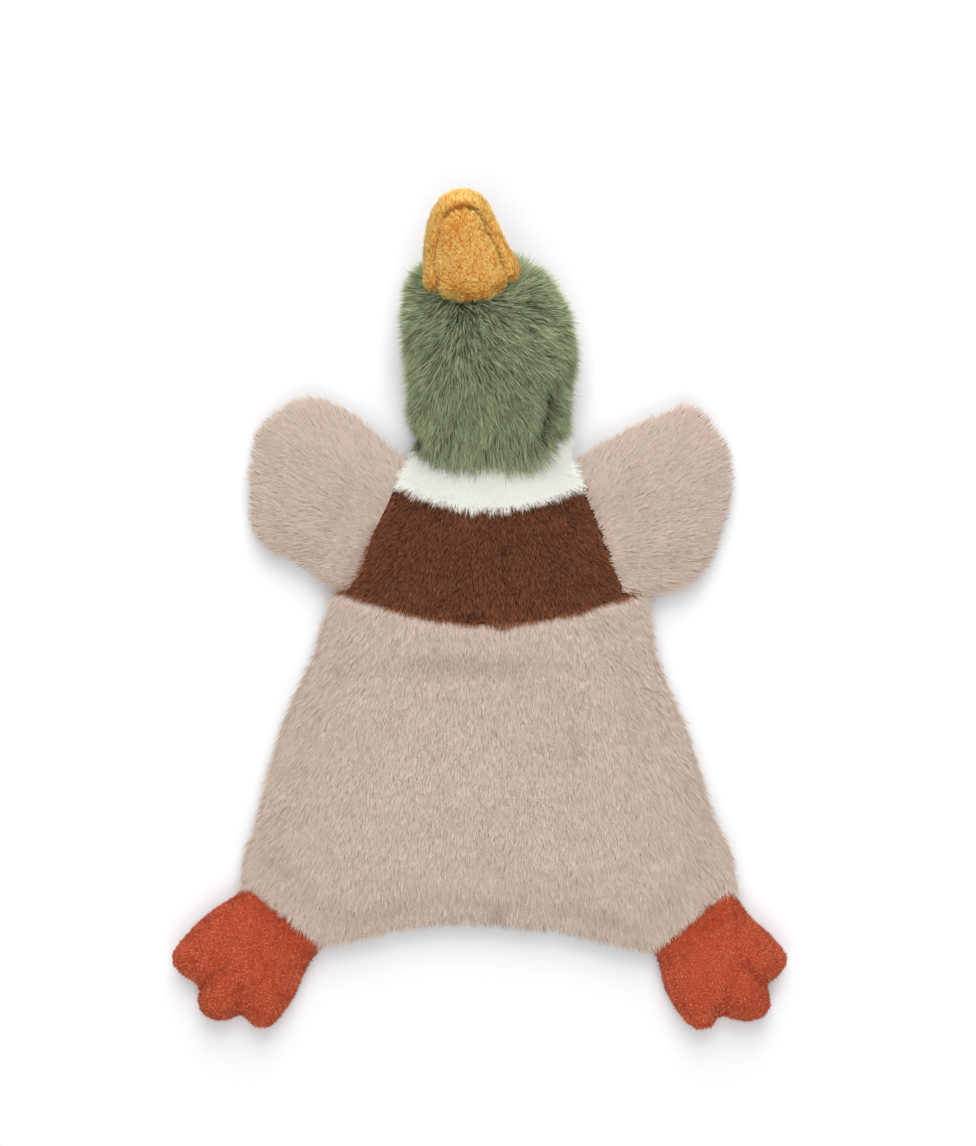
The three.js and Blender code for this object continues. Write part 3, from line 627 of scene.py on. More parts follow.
eye_finish = ground_finish(
    "black_eye_plastic", linear(10, 9, 9), linear(20, 18, 17), grain=300, patch=80, bump=0.02,
    roughness=0.08, sheen=0, specular=0.6,
)
clear_finish = ground_finish(
    "clear_moulded_plastic", linear(214, 216, 212), linear(236, 238, 234), grain=200, bump=0.05,
    roughness=0.3, sheen=0,
)
film_finish = ground_finish(
    "crinkle_film", linear(206, 212, 218), linear(232, 236, 240), grain=90, patch=30, bump=0.7,
    depth=1.2 * MM, roughness=0.25, sheen=0,
)
for node in ("left_eye", "right_eye"):
    keep_node(node, eye_finish)
for node in ("left_eye_washer", "right_eye_washer", "squeaker_bulb", "squeaker_reed"):
    keep_node(node, clear_finish)
keep_node("crinkle_sheet", film_finish)


# Joints
def hinge(joint):
    """A joint's place, the direction that leads away from the torso, and its axis."""
    row = JOINTS[joint]
    axis = np.array(row["axis"], float)
    return np.array(row["pos_m"], float), unit(np.cross(UP, axis)), unit(axis)


def bends():
    """For a piece that spans a joint; it only has its placement baked into its mesh."""

    def place(piece):
        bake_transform(piece)

    return place


def rides(body):
    return lambda piece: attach(piece, body)


# Cloth skins
def draw_in(piece, comb, margin, along_comb, reach, drop):
    """Draws a flat skin in from its rim and down from its faces, to leave room for the pile."""
    co, normal = places(piece), facings(piece)
    level = np.hypot(normal[:, 0], normal[:, 1])
    rim = np.flatnonzero(level > 0.8)
    outward = unit(np.stack([normal[rim, 0], normal[rim, 1], np.zeros(len(rim))], 1))
    tree = KDTree(len(rim))
    for number, index in enumerate(rim):
        tree.insert((co[index, 0], co[index, 1], 0), number)
    tree.balance()
    heading = comb(co[rim])
    amount = margin(co[rim], outward) + along_comb * np.clip((heading * outward).sum(1), 0, 1)
    shift = np.zeros_like(co)
    for index, (x, y, _) in enumerate(co):
        found = tree.find_n((x, y, 0), 6)
        gap = np.array([f[2] for f in found])
        if gap[0] > reach:
            continue
        rows = [f[1] for f in found]
        weight = 1 / (gap + 1 * MM)
        pull = (outward[rows] * amount[rows, None] * weight[:, None]).sum(0) / weight.sum()
        shift[index] = -pull * (1 - gap[0] / reach) ** 1.2
    height = co[:, 2] - SEAM_LEVEL
    sink = np.minimum(drop, 0.5 * np.abs(height)) * np.sign(height)
    co += shift
    co[:, 2] -= sink
    set_places(piece, co)


def sink_skin(piece, amount):
    co, normal = places(piece), facings(piece)
    set_places(piece, co - normal * amount(co, normal)[:, None])


def undulate(piece, height, wave, seed):
    co, normal = places(piece), facings(piece)
    set_places(piece, co + normal * (height * drift(co, wave, seed))[:, None])


def root_tongue(piece, joint, reach, length, half):
    """Carries a limb's sewn edge on into the torso."""
    at, outward, _ = hinge(joint)
    co = places(piece)
    along = (co - at) @ outward
    pull = 1 - smooth_step(along, 0.5 * MM, reach)
    co -= np.outer(pull * length, outward)
    height = co[:, 2] - SEAM_LEVEL
    limit = half + np.maximum((co - at) @ outward, 0) * 1.2
    flat = np.clip(height, -limit, limit)
    co[:, 2] = SEAM_LEVEL + height + (flat - height) * (pull > 0)
    set_places(piece, co)


def finish_skin(piece, finish, nodes, place):
    """Gives a skin its material and smooth shading, puts it in place, and hides the solids that it stands
    for.
    """
    piece.data.materials.clear()
    piece.data.materials.append(finish)
    make_active(piece)
    bpy.ops.object.shade_smooth()
    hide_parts(*nodes)
    place(piece)


def torso_band(source, name, upper, lower):
    """The part of the torso's skin between two seams, closed at its cuts."""
    piece = bpy.data.objects.new(name, source.data.copy())
    piece.data.name = name
    bpy.context.scene.collection.objects.link(piece)
    for seam, keeps_below in ((upper, True), (lower, False)):
        if seam is None:
            continue
        co = places(piece)
        across, drop = torso_spot(co)
        offset = seam_drop(across, seam)
        straight = co.copy()
        straight[:, 1] = offset - drop
        set_places(piece, straight)
        cut = bmesh.new()
        cut.from_mesh(piece.data)
        bmesh.ops.bisect_plane(
            cut,
            geom=cut.verts[:] + cut.edges[:] + cut.faces[:],
            dist=1e-7,
            plane_co=(0, (-0.15 if keeps_below else 0.15) * MM, 0),
            plane_no=(0, 1, 0),
            clear_outer=keeps_below,
            clear_inner=not keeps_below,
        )
        loose = [e for e in cut.edges if e.is_boundary]
        caps = bmesh.ops.contextual_create(cut, geom=loose)["faces"]
        bmesh.ops.triangulate(cut, faces=caps)
        bmesh.ops.recalc_face_normals(cut, faces=cut.faces[:])
        cut.to_mesh(piece.data)
        cut.free()
        co = places(piece)
        across = co[:, 0] - MIDLINE
        co[:, 1] = NECK_SEAM - (seam_drop(across, seam) - co[:, 1])
        set_places(piece, co)
    return piece


TORSO_NODES = {
    band: [f"{band}_front_panel", f"{band}_back_panel"] for band in ("collar", "chest", "body")
}
torso_skin = sewn_shell("torso_skin", sum(TORSO_NODES.values(), []), 2.0 * MM, 3)


def near_hinge(co, joint, half, reach):
    """1 on a limb's seam, falling to 0 at that reach from it."""
    at, outward, axis = hinge(joint)
    beyond = np.maximum(np.abs((co - at) @ axis) - half, 0)
    return 1 - smooth_step(np.hypot((co - at) @ outward, beyond), 0, reach)


def by_drop(drop, steps):
    """A listed amount at each drop below the neck seam, both in millimetres."""
    return np.interp(drop / MM, *zip(*steps)) * MM


LEFT_FULLNESS = ((46, 0), (58, 6.0), (75, 2.2), (90, 3.4), (105, 5.6), (124, 3.6), (145, 1.4), (166, 4.0))
RIGHT_FULLNESS = (
    (46, 1), (58, 6.2), (75, 1.2), (95, 1.4), (108, 3.8), (130, 1.4), (142, 0.8), (158, 5.2), (166, 4.4),
)
HEM_LIFT = (
    (-100, 1.6), (-74, 1.2), (-60, -0.6), (-39, 4.0), (-20, 1.2), (-6, -2.8), (6, -3.8), (26, 1.2), (42, 0.4),
    (60, -3.8), (72, 0.6), (100, 1.6),
)
SEAMS = {  # half of each seam's length, and how far from it the torso's rim still changes
    "left_wing_flap": (29 * MM, 9 * MM),
    "right_wing_flap": (29 * MM, 9 * MM),
    "left_foot_flap": (17 * MM, 8 * MM),
    "right_foot_flap": (17 * MM, 8 * MM),
    "neck_bend": (36 * MM, 9 * MM),
}


def torso_margin(co, outward):
    """Room for the fur at the rim, less where a limb is sewn on or the side is full."""
    joined = np.max([near_hinge(co, joint, *size) for joint, size in SEAMS.items()], axis=0)
    across, drop = torso_spot(co)
    full = np.where(across < 0, by_drop(drop, LEFT_FULLNESS), by_drop(drop, RIGHT_FULLNESS))
    return 2.2 * MM * (1 - joined) - 0.6 * MM * joined - full * np.clip(np.abs(outward[:, 0]), 0, 1)


def lift_hem(piece):
    co = places(piece)
    across, drop = torso_spot(co)
    co[:, 1] += by_drop(across, HEM_LIFT) * smooth_step(drop, HEM_DROP - 45 * MM, HEM_DROP)
    set_places(piece, co)


draw_in(torso_skin, torso_comb, torso_margin, 1.0 * MM, 16 * MM, 3.0 * MM)
lift_hem(torso_skin)
undulate(torso_skin, 0.5 * MM, 45 * MM, 3)
even_out(torso_skin, 3)

WING_ORIGIN = {
    "left_wing": np.array([-8.0, 18.0, 7.0]) * MM,
    "right_wing": np.array([16.0, 18.0, 7.0]) * MM,
}


def raise_tip(piece, joint):
    """Lets a wing stand a little toward the head."""
    at, outward, _ = hinge(joint)
    co = places(piece)
    co[:, 1] += 1.1 * MM * smooth_step((co - at) @ outward, 5 * MM, 30 * MM)
    set_places(piece, co)


def wing_margin(co, outward):
    return -0.5 * MM - 0.5 * MM * np.clip(-outward[:, 1], 0, 1)


WING_NUDGES = (  # place and shift in millimetres, and reach
    (-90, 34, -1.4, 0, 10),
    (-46, 74, 0.7, 1.2, 14),
    (-81, 83, 0.8, -1.2, 11),
    (101, 31, -3.4, 0.8, 11),
    (70, 80, 0.3, -0.9, 11),
    (42, 66, 1.4, 1.4, 8),
    (80, 10, 1.0, -2.8, 14),
    (94, 76, -1.8, -1.2, 10),
    (80, 84, 0, 1.6, 8),
    (-68, 87, 0, 1.8, 8),
    (-80, 83, 0.3, 0.3, 8),
)


def nudge(piece, nudges):
    """Shifts a skin sideways round listed places, given in millimetres."""
    co = places(piece)
    start = co.copy()
    for x, y, aside, ahead, reach in nudges:
        near = np.exp(-(((start[:, 0] / MM - x) ** 2 + (start[:, 1] / MM - y) ** 2) / reach**2))
        co[:, 0] += aside * MM * near
        co[:, 1] += ahead * MM * near
    set_places(piece, co)


def make_wing(wing):
    """A wing's skin, the lie of its fur and the solids it stands for."""
    nodes = [f"{wing}_front_panel", f"{wing}_back_panel"]
    skin = sewn_shell(wing, nodes, 2.0 * MM, 4)
    comb = fan_comb(WING_ORIGIN[wing])
    draw_in(skin, comb, wing_margin, 1.2 * MM, 13 * MM, 2.4 * MM)
    nudge(skin, WING_NUDGES)
    raise_tip(skin, f"{wing}_flap")
    root_tongue(skin, f"{wing}_flap", 9 * MM, 7 * MM, 1.2 * MM)
    undulate(skin, 0.4 * MM, 30 * MM, 5)
    even_out(skin, 3)
    return skin, comb, nodes


wings = {wing: make_wing(wing) for wing in WING_ORIGIN}


def foot_sink(co, normal, foot):
    """The nap's depth, less where the foot swells toward the midline beside the hem."""
    at, outward, _ = hinge(f"{foot}_flap")
    inward = -np.sign(at[0]) * normal[:, 0]
    near_hem = 1 - smooth_step((co - at) @ outward, 14 * MM, 34 * MM)
    rim = 1 - np.abs(normal[:, 2])
    return 0.2 * MM - rim * (1.0 * MM + 1.6 * MM * near_hem * np.clip(inward, 0, 1))


def fold_depth(co, start, end, width):
    """1 along a fold line seen from above, falling off beside it."""
    start, end = np.array(start), np.array(end)
    run = end - start
    share = np.clip((co[:, :2] - start) @ run / (run @ run), 0, 1)
    gap = np.linalg.norm(co[:, :2] - start - share[:, None] * run, axis=1)
    return bell(gap / width)


def crease(piece, fold, depth, level):
    """Presses a fold into the part of a skin that faces up more than that level."""
    sink_skin(piece, lambda co, normal: depth * fold_depth(co, *fold) * (normal[:, 2] > level))


def head_folds(co):
    return np.maximum(fold_depth(co, *CHEEK_FOLD), fold_depth(co, *JOWL_FOLD))


TOE_FOLDS = {
    "left_foot": (
        ((-113.4 * MM, -149.4 * MM), (-102 * MM, -141 * MM), 1.9 * MM),
        ((-95.4 * MM, -161.2 * MM), (-96.5 * MM, -148 * MM), 1.9 * MM),
    ),
    "right_foot": (
        ((116 * MM, -148.2 * MM), (105.5 * MM, -140 * MM), 1.9 * MM),
        ((96.2 * MM, -163 * MM), (98.5 * MM, -150 * MM), 1.9 * MM),
    ),
}
FOOT_NUDGES = (  # place and shift in millimetres, and reach
    (-109, -120, -0.2, 0.6, 14),
    (-77, -155, 1.2, -0.3, 14),
    (-112, -157, -1.0, 0.2, 8),
    (-123, -137, -1.0, 0, 6),
    (-92, -166, 0, 0.5, 8),
    (113, -122, -1.0, -1.3, 14),
    (80, -155, -1.2, -0.4, 14),
    (116, -155, 1.1, 0.2, 8),
    (123, -137, 0.9, 0, 6),
    (93, -168, 0, 1.2, 9),
)


def make_foot(foot):
    """A foot's skin and the solids it stands for."""
    nodes = [f"{foot}_{part}" for part in ("top_panel", "sole_panel", "filling")]
    skin = sewn_shell(foot, nodes, 1.1 * MM, 3)
    sink_skin(skin, lambda co, normal: foot_sink(co, normal, foot))
    nudge(skin, FOOT_NUDGES)
    for fold in TOE_FOLDS[foot]:
        crease(skin, fold, 1.3 * MM, 0.3)
    root_tongue(skin, f"{foot}_flap", 7 * MM, 6 * MM, 1.0 * MM)
    return skin, nodes


feet = {foot: make_foot(foot) for foot in TOE_FOLDS}

HEAD_NODES = [
    "head_left_panel", "head_right_panel", "throat_panel", "crown_panel",
    "head_base_panel", "head_filling_front", "head_filling_back",
]
head_skin = sewn_shell("head", HEAD_NODES, 2.0 * MM, 5)


def eye_gap(co):
    middle = [np.mean([np.array(c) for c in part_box(eye)], axis=0) for eye in ("left_eye", "right_eye")]
    return np.min([np.linalg.norm(co - m, axis=1) for m in middle], axis=0)


def brow(co):
    """1 over the eye near the head's left edge, where the fur hides it from above."""
    near = 1 - smooth_step(eye_gap(co), 7 * MM, 14 * MM)
    return near * smooth_step(co[:, 2], 15 * MM, 21 * MM) * (co[:, 0] < MIDLINE)


def head_sink(co, normal):
    """The fur's depth, less where the head is fuller than its solids and more where it is slimmer."""
    across, above = co[:, 0] - MIDLINE, co[:, 1] - NECK_SEAM
    amount = 3.0 * MM + 0.8 * MM * np.clip((head_comb(co) * normal).sum(1), 0, 1)
    left, right = smooth_step(-normal[:, 0], 0.2, 0.8), smooth_step(normal[:, 0], 0.2, 0.8)
    below_brow = 1 - smooth_step(above, 60 * MM, 72 * MM)
    amount += 1.0 * MM * left * below_brow * smooth_step(above, 20 * MM, 36 * MM)
    amount -= 2.4 * MM * left * bell((above - 13 * MM) / (5 * MM))
    amount -= 1.4 * MM * right * bell((above - 11.5 * MM) / (4 * MM))
    amount -= 1.4 * MM * left * smooth_step(above, 66 * MM, 76 * MM)
    amount -= 1.6 * MM * right * bell((above - 46 * MM) / (13 * MM))
    amount *= smooth_step(above, 2 * MM, 12 * MM)
    corner = smooth_step(np.abs(across), 18 * MM, 34 * MM) * (1 - smooth_step(above, 6 * MM, 24 * MM))
    amount -= 0.4 * MM * brow(co)
    return amount + 0.8 * MM * corner * smooth_step(above, 0.5 * MM, 4 * MM)


sink_skin(head_skin, head_sink)
crease(head_skin, CHEEK_FOLD, 5.0 * MM, 0)
crease(head_skin, JOWL_FOLD, 3.5 * MM, 0)
root_tongue(head_skin, "neck_bend", 5 * MM, 5 * MM, 1.2 * MM)
even_out(head_skin, 3)

UPPER_BILL_NODES = ["upper_bill_top_panel", "upper_bill_palate_panel", "upper_bill_filling"]
LOWER_BILL_NODES = ["lower_bill_chin_panel", "lower_bill_inner_panel", "lower_bill_filling"]
upper_bill = sewn_shell("upper_bill", UPPER_BILL_NODES, 0.9 * MM, 4)
lower_bill = sewn_shell("lower_bill", LOWER_BILL_NODES, 0.9 * MM, 4)
_, BILL_AHEAD, BILL_SIDE = hinge("bill_open")


def bill_spot(co):
    """Distance to the right of the bill's middle, and ahead of its base."""
    return (co - JAW) @ BILL_SIDE, (co - JAW) @ BILL_AHEAD


def bury_base(piece, depth, ahead_start, ahead_end, aside_start, aside_end):
    """Lets the sides of a bill's base go down into the head's fur."""
    co = places(piece)
    aside, ahead = bill_spot(co)
    low = 1 - smooth_step(ahead, ahead_start, ahead_end)
    co[:, 2] -= depth * low * smooth_step(np.abs(aside), aside_start, aside_end)
    set_places(piece, co)


BILL_FOLD = ((7.2 * MM, 148.0 * MM), (15.7 * MM, 133.8 * MM), 0.9 * MM)
sink_skin(upper_bill, lambda co, normal: 0.1 * MM - 0.5 * MM * np.abs(normal @ BILL_SIDE))
even_out(upper_bill, 2)
crease(upper_bill, BILL_FOLD, 0.8 * MM, 0.2)
sink_skin(lower_bill, lambda co, normal: 0.3 * MM + 0.6 * MM * np.clip(-normal @ BILL_SIDE, 0, 1))
nudge(upper_bill, ((17, 130, -1.2, 2.0, 4.5),))
bury_base(upper_bill, 9 * MM, 5.5 * MM, 10 * MM, 6 * MM, 10 * MM)
bury_base(lower_bill, 7 * MM, 1 * MM, 8 * MM, 4 * MM, 13 * MM)


# Stuffing
FILLING_FRAMES = 20


def stuff(jobs):
    """Fills closed skins with air, holds their seams, and limits how far each point goes."""
    for piece, held, push, _ in jobs:
        group = piece.vertex_groups.new(name="seams")
        for index in np.flatnonzero(held > 0.01):
            group.add([int(index)], float(held[index]), "REPLACE")
        cloth = piece.modifiers.new("filling", "CLOTH")
        cloth.settings.use_pressure = True
        cloth.settings.uniform_pressure_force = push
        cloth.settings.effector_weights.gravity = 0
        cloth.settings.vertex_group_mass = "seams"
        cloth.settings.quality = 4
        cloth.point_cache.frame_start, cloth.point_cache.frame_end = 1, FILLING_FRAMES
    scene = bpy.context.scene
    for number in range(1, FILLING_FRAMES + 1):
        scene.frame_set(number)
    graph = bpy.context.evaluated_depsgraph_get()
    moved = [places(piece.evaluated_get(graph)) for piece, *_ in jobs]
    for (piece, _, _, limit), co in zip(jobs, moved):
        start = places(piece)
        piece.modifiers.clear()
        piece.vertex_groups.clear()
        step = co - start
        far = np.linalg.norm(step, axis=1, keepdims=True)
        set_places(piece, start + step * np.minimum(1, limit / np.maximum(far, 1e-9)))
    scene.frame_set(1)


def rim_hold(piece):
    """Holds the seam round a flat stuffed part."""
    return (np.abs(facings(piece)[:, 2]) < 0.35).astype(float)


def head_hold():
    """Holds the seams beside the throat panel, and the neck."""
    co = places(head_skin)
    at_seams = bell((np.abs(co[:, 0] - 4 * MM) - 17.1 * MM) / (1.5 * MM))
    return np.maximum(at_seams, 1 - smooth_step(co[:, 1], NECK_SEAM + 4 * MM, NECK_SEAM + 12 * MM))


# Each job is a skin, how firmly each point is held, the push, and the farthest a point may go
jobs = [(head_skin, head_hold(), 3.0, 2.0 * MM)]
jobs += [(skin, rim_hold(skin), 3.0, 1.2 * MM) for skin, _ in feet.values()]
jobs.append((lower_bill, np.full(len(lower_bill.data.vertices), 0.02), 2.0, 0.5 * MM))
stuff(jobs)


# Dressing the skins
bands = {
    "collar": torso_band(torso_skin, "collar", None, COLLAR_SEAM),
    "chest": torso_band(torso_skin, "chest", COLLAR_SEAM, WAIST_SEAM),
    "body": torso_band(torso_skin, "body", WAIST_SEAM, None),
}
BAND_FINISH = {
    "collar": (white_ground, white_pile, "white_fur"),
    "chest": (brown_ground, brown_pile, "brown_fur"),
    "body": (taupe_ground, taupe_pile, "taupe_fur"),
}


def band_at(co, wobble):
    """0 on the collar, 1 on the chest and 2 on the body."""
    across, drop = torso_spot(co)
    to_collar = drop - seam_drop(across, COLLAR_SEAM) + wobble
    to_waist = drop - seam_drop(across, WAIST_SEAM) + wobble
    to_waist -= 2.0 * MM * bell((across - 5.4 * MM) / (2.4 * MM))
    return (to_collar > 0).astype(int) + (to_waist > 0).astype(int)


FRONT_DENSITY, BACK_DENSITY = 6.8e6, 1.1e6


def fur_density(front, back):
    """Strands a square metre where the cloth faces up or sideways, and where it faces down."""

    def density(co, normal):
        return back + (front - back) * smooth_step(normal[:, 2], -0.45, 0.0)

    return density


def plain_tint(seed, wave=14 * MM, spread=0.08, base=0.55):
    """0 for dull strands and 1 for bright ones, drifting over the cloth."""

    def tint(root, facing):
        return base + spread * drift(root, wave, seed)

    return tint


FUR = dict(  # lengths in metres, angles in degrees, the rest as shares
    length=4.8 * MM, width=0.3 * MM, lift=(38, 20), tuft=1.1 * MM, gather=0.2, swirl=8,
    swirl_wave=22 * MM, tuft_swing=6, stray=8, uneven=0.1, rooted=0.5 * MM, soft=0.88, skyward=0.7,
    rounded=0.7, stray_tint=0.38, tuft_tint=0.05, ruffle=0.1, gaps=0.0, clump=6 * MM, clump_tint=0.0,
    clump_swing=2, level=0.85,
)
# Painted shade where the body's cloth dips, such as a band below the chest seam, a dimple on the right and
# the notch in the hem
PAINTED_SHADE_SPOTS = (  # place across and below the neck seam, size both ways, strength
    (-12, 80, 36, 4.5, 0.52),
    (34, 112, 3, 6, 0.45),
    (31, 104, 5, 12, 0.15),
    (3, 179, 2.6, 5, 0.8),
    (-2, 150, 6, 10, 0.1),
)


def body_tint(root, facing):
    across, drop = (value / MM for value in torso_spot(root))
    shade = np.zeros(len(root))
    for x, y, wide, tall, strength in PAINTED_SHADE_SPOTS:
        shade += strength * bell((across - x) / wide, (drop - y) / tall)
    # Painted light: a little lighter toward the hem, whose slope faces away from the lamps
    at_hem = smooth_step(drop, 154, 166)
    return plain_tint(52, spread=0.05, base=0.57)(root, facing) - shade + 0.05 * at_hem


def chest_tint(root, facing):
    """Dull in the middle, with lighter, redder tips by the waist seam and the wings: painted light where it
    shows through the fur's thin edge.
    """
    across, drop = torso_spot(root)
    to_waist = seam_drop(across, WAIST_SEAM) - drop
    at_edge = 1 - smooth_step(to_waist, 0.5 * MM, 3.5 * MM)
    to_side = torso_half(drop) - np.abs(across)
    at_edge = np.maximum(at_edge, 0.35 * (1 - smooth_step(to_side, 2 * MM, 9 * MM)))
    return plain_tint(51, 9 * MM, 0.04, 0.06)(root, facing) + 0.5 * at_edge


def body_fur_scale(root, facing):
    """Longer toward the sides and the hem."""
    across, drop = torso_spot(root)
    at_side = smooth_step(np.abs(across) / torso_half(drop), 0.5, 0.9)
    outer = np.maximum(at_side, smooth_step(drop, 150 * MM, 165 * MM))
    return 0.86 + 0.2 * outer


BAND_TINT = {"collar": plain_tint(50), "chest": chest_tint, "body": body_tint}
BAND_FUR = {
    "collar": dict(
        FUR, length=5 * MM, width=0.28 * MM, lift=(34, 20), tuft=1.8 * MM, gather=0.4, clump=4 * MM,
        level=0.9, skyward=1.1, stray_tint=0.3,
    ),
    "chest": dict(
        FUR, length=3.2 * MM, width=0.26 * MM, lift=(60, 42), tuft=0.5 * MM, ruffle=0.12,
        stray_tint=0.42, tuft_tint=0.08, level=0.95, clump=5 * MM,
    ),
    "body": dict(FUR, scale=body_fur_scale),
}


# How far each wing's fur laps over the chest, at the root's upper and lower end
LAP = {"left_wing": (5.5 * MM, -1 * MM), "right_wing": (4.5 * MM, 5 * MM)}


def beside_chest(root, wing):
    """How far down the wing's root a point is, from 0 to 1, and how far out from the chest's edge."""
    at, outward, axis = hinge(f"{wing}_flap")
    down = axis if axis[1] < 0 else -axis
    share = (root - at) @ down / (59 * MM) + 0.5
    upper, lower = LAP[wing]
    edge = upper + (lower - upper) * np.clip(share, 0, 1)
    return share, (root - at) @ outward + edge + 0.7 * MM * drift(root, 5 * MM, 5)


def shoulder(root, wing):
    """Which of the torso's roots belong to the wing's fur, which laps over the chest's edge."""
    share, out = beside_chest(root, wing)
    return (share > -0.02) & (share < 0.93) & (out > 0)


def wing_tint(wing, seed):
    """Darker right beside the chest, where the strands start: a painted shadow line between wing and chest.
    """

    def tint(root, facing):
        _, out = beside_chest(root, wing)
        at_chest = 1 - smooth_step(out, 0.3 * MM, 2.4 * MM)
        return plain_tint(seed, base=0.77)(root, facing) - 0.6 * at_chest

    return tint


torso_roots = spread_roots(torso_skin, fur_density(FRONT_DENSITY, BACK_DENSITY), 31)
wobble = 0.7 * MM * drift(torso_roots[0], 7 * MM, 77)
torso_band_of = band_at(torso_roots[0], wobble)
shoulders = {wing: shoulder(torso_roots[0], wing) for wing in LAP}
torso_band_of[shoulders["left_wing"] | shoulders["right_wing"]] = -1


def dress_band(number, band):
    ground, fur, slot = BAND_FINISH[band]
    finish_skin(bands[band], ground, TORSO_NODES[band], rides("torso"))
    rows = torso_band_of == number
    roots = torso_roots[0][rows], torso_roots[1][rows]
    tint, kind = BAND_TINT[band], BAND_FUR[band]
    pile(f"{band}_fur", roots, torso_comb, tint, kind, 60 + number, fur, rides("torso"))


def dress_wing(number, wing, skin, comb, nodes):
    """The wing's own fur, and with it the fur that laps over the chest."""
    place = bends()
    root, facing = spread_roots(skin, fur_density(FRONT_DENSITY, BACK_DENSITY), 33 + number)
    at, outward, _ = hinge(f"{wing}_flap")
    kept = (root - at) @ outward > -2.5 * MM
    lapped = shoulders[wing]
    roots = [np.concatenate([own[kept], lap[lapped]]) for own, lap in zip((root, facing), torso_roots)]
    finish_skin(skin, taupe_ground, nodes, place)
    tint = wing_tint(wing, 70 + number)
    pile(f"{wing}_fur", roots, comb, tint, FUR, 80 + number, taupe_pile, place)


for number, band in enumerate(BAND_FINISH):
    dress_band(number, band)
bpy.data.objects.remove(torso_skin)
for number, (wing, (skin, comb, nodes)) in enumerate(wings.items()):
    dress_wing(number, wing, skin, comb, nodes)


def head_fur_scale(root, facing):
    """Short round the eyes, except above them, and at the neck's corners; long over the collar."""
    across, above = root[:, 0] - MIDLINE, root[:, 1] - NECK_SEAM
    low = 1 - smooth_step(above, 6 * MM, 16 * MM)
    corner = smooth_step(np.abs(across), 16 * MM, 32 * MM)
    far = smooth_step(eye_gap(root), 5 * MM, 14 * MM)
    over = brow(root)
    length = (0.45 + 0.55 * np.maximum(far, over)) * (1 + low * (0.5 * (1 - corner) - 0.35 * corner))
    return length * (1 - 0.45 * head_folds(root)) * (1 + 0.35 * over)


HEAD_FUR = dict(
    FUR, length=6.8 * MM, width=0.25 * MM, lift=(42, 20), tuft=0.8 * MM, gather=0.25, swirl=22,
    swirl_wave=15 * MM, stray=13, uneven=0.2, stray_tint=0.58, tuft_tint=0.16, ruffle=0.26, gaps=0.7,
    clump=5 * MM, clump_tint=0.05, clump_swing=9, level=0.4, scale=head_fur_scale,
)


def head_tint(root, facing):
    """Painted light low down, at the lower fringe and round the edges, where the tips catch the light;
    painted shade in the folds and along the parting.
    """
    above = root[:, 1] - NECK_SEAM
    low = 1 - smooth_step(above, 6 * MM, 34 * MM) + 0.6 * (1 - smooth_step(above, 1 * MM, 6 * MM))
    side = np.clip(1 - facing[:, 2], 0, 1)
    parting = bell((root[:, 0] - PARTING[0]) / (8 * MM), (root[:, 1] - PARTING[1]) / (15 * MM))
    fringe = 1 - smooth_step(above, 0.5 * MM, 3.5 * MM)
    tint = plain_tint(90, base=0.43)(root, facing) + 0.25 * fringe + 0.16 * low + 0.3 * side
    return tint - 0.7 * head_folds(root) - 0.2 * parting


def skin_tree(skin):
    return BVHTree.FromObject(skin, bpy.context.evaluated_depsgraph_get())


def distance_to(tree, points):
    return np.array([tree.find_nearest(Vector(p))[3] for p in points])


OTHER_HALF = {"upper_bill": skin_tree(lower_bill), "lower_bill": skin_tree(upper_bill)}


def clear_of_bill(root):
    gap = np.full(len(root), 1.0)
    near = np.linalg.norm(root - BILL_BASE, axis=1) < 25 * MM
    gap[near] = distance_to(OTHER_HALF["upper_bill"], root[near])
    return gap > 0.8 * MM


def dress_head():
    """Green fur round the eyes and the bill, and the collar's white fur at the neck's corners."""
    place = bends()
    root, facing = spread_roots(head_skin, fur_density(14e6, 2.5e6), 35)
    kept = (root[:, 1] > NECK_SEAM - 0.5 * MM) & (eye_gap(root) > 5.2 * MM) & clear_of_bill(root)
    finish_skin(head_skin, green_ground, HEAD_NODES, place)
    root, facing = root[kept], facing[kept]
    across, above = root[:, 0] - MIDLINE, root[:, 1] - NECK_SEAM
    to_corner = smooth_step(np.abs(across), 11 * MM, 33 * MM)
    reach = np.where(across < 0, 5.0 * MM, 14.0 * MM) * to_corner
    white = above < reach + 0.4 * MM * drift(root, 6 * MM, 78)
    corner_fur = dict(BAND_FUR["collar"], length=6.2 * MM, lift=(38, 16))
    pile(
        "collar_corner_fur", (root[white], facing[white]), collar_corner_comb, plain_tint(53),
        corner_fur, 64, white_pile, place,
    )
    roots = root[~white], facing[~white]
    pile("head_fur", roots, head_comb, head_tint, HEAD_FUR, 95, green_pile, place)


dress_head()

VELOUR = dict(
    length=0.9 * MM, width=0.34 * MM, lift=(74, 64), tuft=0.8 * MM, gather=0.7, swirl=60,
    swirl_wave=6 * MM, tuft_swing=40, stray=30, uneven=0.15, rooted=0.25 * MM, soft=0.6, skyward=0.2,
    rounded=0.0, stray_tint=0.2, tuft_tint=0.4, ruffle=0.1, gaps=0.5, clump=5 * MM, clump_tint=0.03,
    clump_swing=20, level=0.0,
)


def foot_tint(seed, at, outward):
    """Painted shade beside the hem that shades it, and in the folds between the toes."""
    folds = TOE_FOLDS["left_foot"] + TOE_FOLDS["right_foot"]

    def tint(root, facing):
        near_hem = 1 - smooth_step((root - at) @ outward, 1 * MM, 14 * MM)
        creased = np.max([fold_depth(root, *fold) for fold in folds], axis=0)
        return plain_tint(seed, 8 * MM, 0.05, 0.7)(root, facing) - 0.7 * near_hem - 0.4 * creased

    return tint


